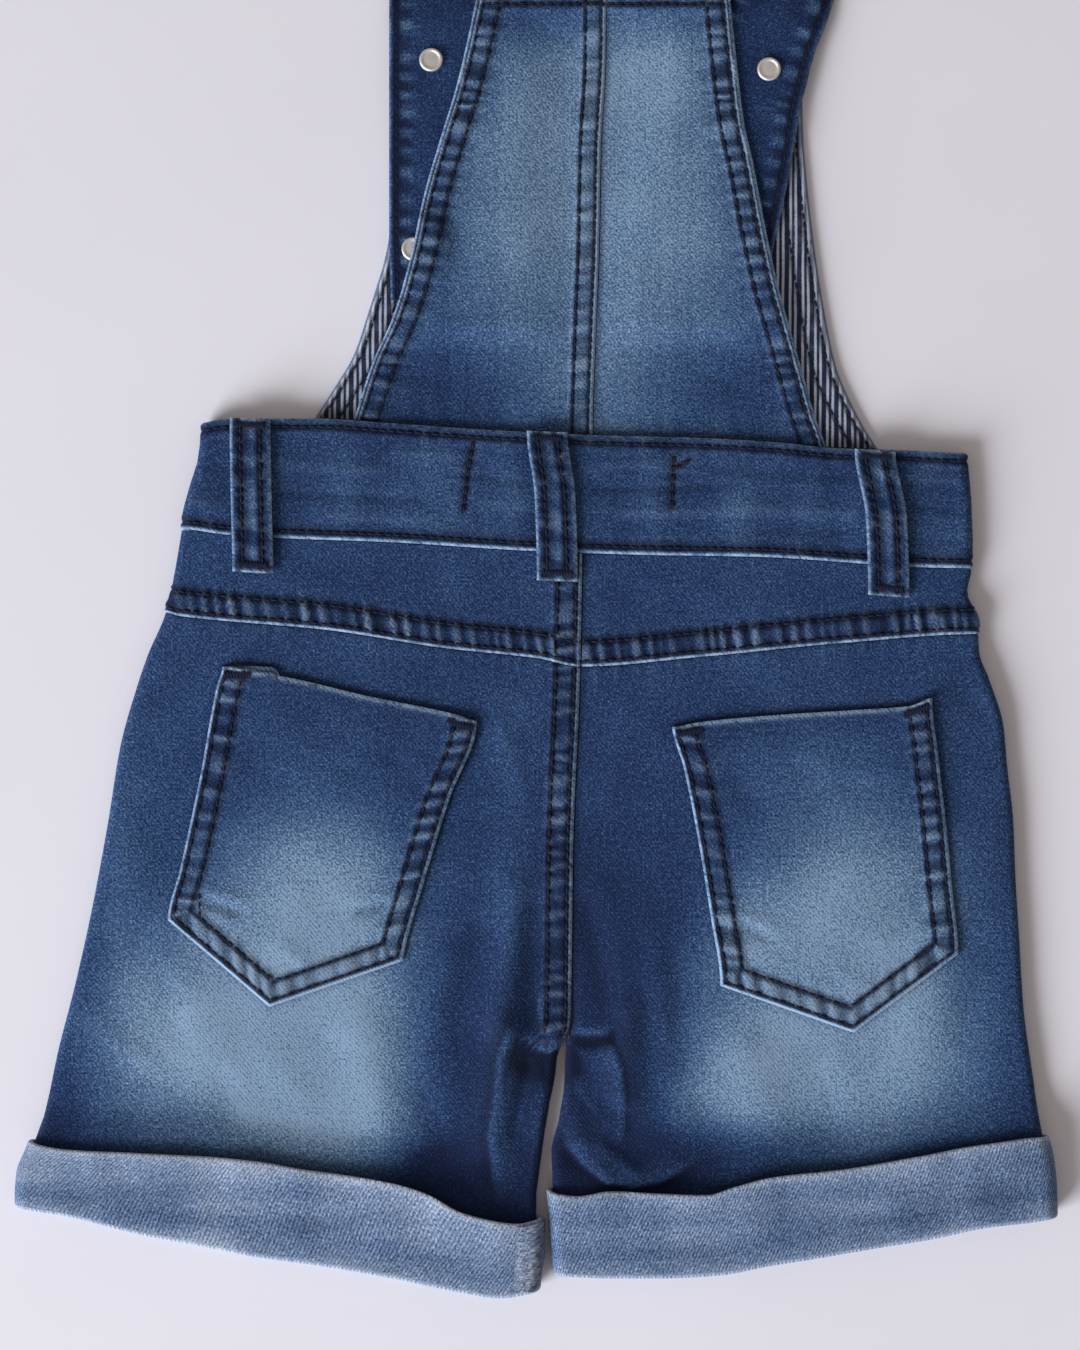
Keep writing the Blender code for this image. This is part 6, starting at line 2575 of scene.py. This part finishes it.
def shade(
    tree: bpy.types.NodeTree, colour: object, height: object, relief: tuple[float, float],
    inputs: dict,
) -> None:
    """Give a material its shader.

    Args:
        tree: Node tree.
        colour: Socket of the colour.
        height: Socket of the height of its fine relief.
        relief: Strength of that relief and its height in metres.
        inputs: Further inputs of the shader by name.
    """
    bump = add_node(tree, "ShaderNodeBump", {}, {
        "Strength": relief[0], "Distance": relief[1], "Height": height})
    shader = add_node(tree, "ShaderNodeBsdfPrincipled", {}, {
        "Base Color": colour, "Normal": bump.outputs[0], **inputs})
    add_node(tree, "ShaderNodeOutputMaterial", {}, {0: shader.outputs[0]})


@dataclass(frozen=True)
class Weave:
    """Diagonal lines of a woven cloth."""

    period: float
    turn: float
    strength: float

    def ribs(self, tree: bpy.types.NodeTree, place: object) -> object:
        """Diagonal ribs of the weave, from 0 to 1.

        Args:
            tree: Node tree.
            place: Socket of the place on the cloth.

        Returns:
            The socket of the ribs.
        """
        turn = (0.0, 0.0, math.radians(self.turn))
        turned = add_node(tree, "ShaderNodeMapping", {}, {0: place, "Rotation": turn}).outputs[0]
        # A band of the wave texture is 0.314 units wide at a scale of 1
        wave = add_node(
            tree, "ShaderNodeTexWave", {"wave_type": "BANDS", "bands_direction": "X"},
            {"Vector": turned, "Scale": 0.314 / self.period, "Distortion": 0.9, "Detail": 1.0,
             "Detail Scale": 2.2},
        )
        return wave.outputs[1]


@dataclass(frozen=True)
class ClothFinish:
    """Dyed and washed cloth with its own threads, clouds, worn edges and deep shadows.

    All distances are millimetres on the cloth, taken from the attribute "cloth".
    """

    name: str
    ramp: tuple[tuple[float, str], ...]
    worn: str
    dark: str
    inside: str
    weave: Weave
    roughness: float = 0.92
    sheen: float = 0.08
    slub: float = 0.16
    speckle: float = 1.25
    cloud: float = 0.16
    bump: float = 0.7
    rib_height: float = 0.3

    def build(self) -> bpy.types.Material:
        """Make the material.

        Returns:
            The material.
        """
        material, tree = new_material(self.name)
        cloth, (_, _, wrong_side), (wash, worn, dark) = read_cloth(tree)
        slub = noise(tree, cloth, (0.75, 6.5), 2.0)
        cross_slub = noise(tree, cloth, (5.0, 0.8), 1.0)
        speckle = noise(tree, cloth, (0.7, 0.7), 1.0)
        blotch = noise(tree, cloth, (1.7, 1.5), 1.0)
        cloud = noise(tree, cloth, (13.0, 15.0), 3.0)
        ribs = self.weave.ribs(tree, cloth)
        total = amount(tree, "MULTIPLY_ADD", worn, 0.45, wash)
        for part, strength in (
            (slub, self.slub), (cross_slub, self.slub * 0.45), (speckle, self.speckle),
            (blotch, self.speckle * 0.4), (cloud, self.cloud),
            (amount(tree, "SUBTRACT", ribs, 0.5), self.weave.strength),
        ):
            total = amount(tree, "MULTIPLY_ADD", part, strength, total)
        ramp = add_node(tree, "ShaderNodeValToRGB", {}, {0: total})
        stops = ramp.color_ramp.elements
        for place, _ in self.ramp[2:]:
            stops.new(place)
        for stop, (place, colour) in zip(stops, self.ramp):
            stop.position, stop.color = place, linear(colour)
        slant = (0.0, 0.0, math.radians(-48.0))
        slanted = add_node(tree, "ShaderNodeMapping", {}, {0: cloth, "Rotation": slant}).outputs[0]
        rope = noise(tree, slanted, (0.85, 4.5), 1.0)
        broken = amount(tree, "MULTIPLY_ADD", rope, 3.2, 0.82)
        broken = amount(tree, "MULTIPLY_ADD", speckle, 1.3, broken, clamp=True)
        # The worn share, with its painted highlight, pulls towards the worn colour; the dark share, painted
        # shade with the dye left along the seams, pulls towards the dark colour
        pale = amount(tree, "MULTIPLY", amount(tree, "POWER", worn, 1.35), broken)
        deep = amount(tree, "MULTIPLY", dark, 0.92)
        colour = mix(tree, deep, ramp.outputs[0], linear(self.dark))
        colour = mix(tree, pale, colour, linear(self.worn))
        colour = mix(tree, wrong_side, colour, linear(self.inside))
        height = amount(tree, "MULTIPLY", ribs, self.rib_height)
        for part, strength in ((slub, 0.8), (speckle, 1.3)):
            height = amount(tree, "MULTIPLY_ADD", part, strength, height)
        shade(tree, colour, height, (self.bump, 0.0002), {
            "Roughness": self.roughness, "Specular IOR Level": 0.12, "Sheen Weight": self.sheen,
            "Sheen Roughness": 0.55, "Sheen Tint": linear("#c3d0e4")})
        return material


@dataclass(frozen=True)
class StripedCotton(ClothFinish):
    """Plain woven cotton, navy with pairs of fine white stripes along the cloth."""

    navy: str = "#202a49"
    white: str = "#cbd4e5"
    repeat: float = 4.3

    def build(self) -> bpy.types.Material:
        """Make the material.

        Returns:
            The material.
        """
        material, tree = new_material(self.name)
        cloth, (across, _, _), (_, worn, dark) = read_cloth(tree)
        sway = noise(tree, cloth, (14.0, 24.0), 1.0)
        speckle = noise(tree, cloth, (0.6, 0.6), 1.0)
        moved = amount(tree, "MULTIPLY_ADD", sway, 0.9, across)
        ripple = amount(tree, "MULTIPLY_ADD", speckle, 0.35, moved)
        phase = amount(tree, "FRACT", amount(tree, "MULTIPLY", ripple, 1.0 / self.repeat))
        lines = []
        for middle in (0.29, 0.71):
            aside = amount(tree, "ABSOLUTE", amount(tree, "SUBTRACT", phase, middle))
            lines.append(add_node(tree, "ShaderNodeMapRange", {"clamp": True}, {
                0: aside, 1: 0.075, 2: 0.125, 3: 1.0, 4: 0.0}).outputs[0])
        broken = amount(tree, "MULTIPLY_ADD", speckle, 0.8, 0.86)
        striped = amount(tree, "MULTIPLY", amount(tree, "MAXIMUM", *lines), broken)
        colour = mix(tree, striped, linear(self.navy), linear(self.white))
        colour = mix(tree, amount(tree, "MULTIPLY", worn, 0.7), colour, linear(self.worn))
        colour = mix(tree, amount(tree, "MULTIPLY", dark, 0.7), colour, linear(self.dark))
        shade(tree, colour, self.weave.ribs(tree, cloth), (self.bump, 0.00008), {
            "Roughness": self.roughness, "Specular IOR Level": 0.2, "Sheen Weight": self.sheen,
            "Sheen Roughness": 0.5})
        return material


@dataclass(frozen=True)
class PlainFinish:
    """Even finish with a little unevenness, for thread, metal and the floor."""

    name: str
    colour: str
    roughness: float
    metallic: float = 0.0
    specular: float = 0.3
    grain: float = 0.0
    grain_size: float = 0.001

    def build(self) -> bpy.types.Material:
        """Make the material.

        Returns:
            The material.
        """
        material, tree = new_material(self.name)
        place = add_node(tree, "ShaderNodeTexCoord", {}, {}).outputs["Object"]
        grains = add_node(tree, "ShaderNodeTexNoise", {}, {
            "Vector": place, "Scale": 1.0 / self.grain_size, "Detail": 3.0}).outputs[0]
        spread = add_node(tree, "ShaderNodeMapRange", {}, {
            0: grains, 1: 0.3, 2: 0.7, 3: 1.0 - self.grain, 4: 1.0}).outputs[0]
        tint = add_node(tree, "ShaderNodeMix", {"data_type": "RGBA", "blend_type": "MULTIPLY"}, {
            0: 1.0, 6: linear(self.colour), 7: spread}).outputs[2]
        shader = add_node(tree, "ShaderNodeBsdfPrincipled", {}, {
            "Base Color": tint, "Roughness": self.roughness, "Metallic": self.metallic,
            "Specular IOR Level": self.specular})
        add_node(tree, "ShaderNodeOutputMaterial", {}, {0: shader.outputs[0]})
        return material


# Face of the washed indigo twill: deep blue where dye is left, pale grey blue where it is gone
DENIM = ClothFinish(
    "washed_indigo_denim",
    ramp=((0.0, "#182446"), (0.25, "#213862"), (0.5, "#3a567f"), (0.75, "#5a7798"), (1.0, "#859fbb")),
    worn="#93abc8", dark="#0d152d", inside="#7c8eac",
    weave=Weave(period=1.15, turn=-40.0, strength=0.05),
)
# Wrong side of the same twill, which the turned-up cuffs show: pale with blue flecks
REVERSE_DENIM = ClothFinish(
    "denim_wrong_side",
    ramp=((0.0, "#32435f"), (0.25, "#4a6388"), (0.5, "#6a7fa1"), (0.75, "#8798b3"), (1.0, "#b1bccd")),
    worn="#b8c0cc", dark="#27334c", inside="#3a4f77",
    weave=Weave(period=1.1, turn=30.0, strength=0.34), slub=0.13, speckle=1.45, cloud=0.20,
    rib_height=0.8,
)
# Striped cotton lining of the front bib
LINING = StripedCotton(
    "striped_lining_cotton", ramp=((0.0, "#1c2440"), (1.0, "#c9ccd4")),
    worn="#b9c3d6", dark="#10172a", inside="#1c2440",
    weave=Weave(period=0.5, turn=0.0, strength=0.1), sheen=0.1, bump=0.3,
)
# Near black navy sewing thread
NAVY_THREAD = PlainFinish("navy_thread", "#121a36", 0.8, grain=0.25, grain_size=0.0006)
# Undyed overlock thread on the cut edges of the cuffs
PALE_THREAD = PlainFinish("pale_overlock_thread", "#9ba7bd", 0.9, grain=0.45, grain_size=0.0008)
# Satin nickel plating of the studs
NICKEL = PlainFinish("satin_nickel", "#e6e3df", 0.42, metallic=0.75, specular=0.5, grain=0.06,
                     grain_size=0.0012)
# Pale lavender grey paper that the garment lies on
PAPER = PlainFinish("pale_paper", "#e9e8f1", 0.95, specular=0.05, grain=0.02, grain_size=0.08)


@dataclass
class Studio:
    """Plain pale floor, soft light from the lower left, and the camera straight above."""

    floor_size: float = 6.0
    camera_place: tuple[float, float, float] = (0.00128, -0.07876, 1.104)
    lens: float = 85.0
    world_strength: float = 0.342
    key_energy: float = 276.0
    key_size: float = 2.3
    key_place: tuple[float, float, float] = (-2.8, -2.5, 1.5)
    key_aim: tuple[float, float, float] = (0.0, -0.08, 0.0)
    key_colour: tuple[float, float, float] = (0.925, 0.955, 1.0)
    world_colour: str = "#fbefe6"
    floor_drop: float = 0.0001

    def build(self) -> None:
        """Build the floor, the world, the lights and the camera."""
        self.build_floor()
        self.build_lights()
        self.build_camera()

    def build_floor(self) -> None:
        """Floor just under the garment."""
        floor = bmesh.new()
        bmesh.ops.create_grid(floor, x_segments=1, y_segments=1, size=self.floor_size / 2.0)
        bmesh.ops.translate(floor, verts=floor.verts[:], vec=(0.0, 0.0, -self.floor_drop))
        add_object("studio_floor", floor, PAPER.build())

    def build_lights(self) -> None:
        """Even world light and one large soft light."""
        scene = bpy.context.scene
        world = bpy.data.worlds.new("studio_world")
        scene.world = world
        world.use_nodes = True
        background = world.node_tree.nodes["Background"]
        background.inputs[0].default_value = linear(self.world_colour)
        background.inputs[1].default_value = self.world_strength
        light = bpy.data.lights.new("window", "AREA")
        light.shape = "SQUARE"
        light.size = self.key_size
        light.energy = self.key_energy
        light.color = self.key_colour
        lamp = bpy.data.objects.new("window", light)
        lamp.location = self.key_place
        aim = Vector(self.key_aim) - lamp.location
        lamp.rotation_euler = aim.to_track_quat("-Z", "Y").to_euler()
        scene.collection.objects.link(lamp)

    def build_camera(self) -> None:
        """Camera that looks straight down at the middle of the frame."""
        scene = bpy.context.scene
        data = bpy.data.cameras.new("camera")
        data.lens = self.lens
        data.sensor_width = 36.0
        data.clip_start = 0.05
        camera = bpy.data.objects.new("camera", data)
        camera.location = self.camera_place
        scene.collection.objects.link(camera)
        scene.camera = camera
        scene.view_settings.view_transform = "Standard"


def main() -> None:
    """Build the dressed garment and its studio."""
    logging.basicConfig(level=logging.INFO, format="%(message)s")
    denim, reverse = DENIM.build(), REVERSE_DENIM.build()
    navy, pale = NAVY_THREAD.build(), PALE_THREAD.build()
    for part in (
        Body(denim, navy),
        Cuffs(reverse, pale),
        Waistband(denim, navy),
        Bib(denim, LINING.build(), navy),
        Straps(denim, navy),
        PatchPockets(denim, navy),
        BeltLoops(denim, navy),
        Studs(NICKEL.build()),
        Studio(),
    ):
        part.build()
        log.info("%s done", type(part).__name__)


if __name__ == "__main__":
    main()
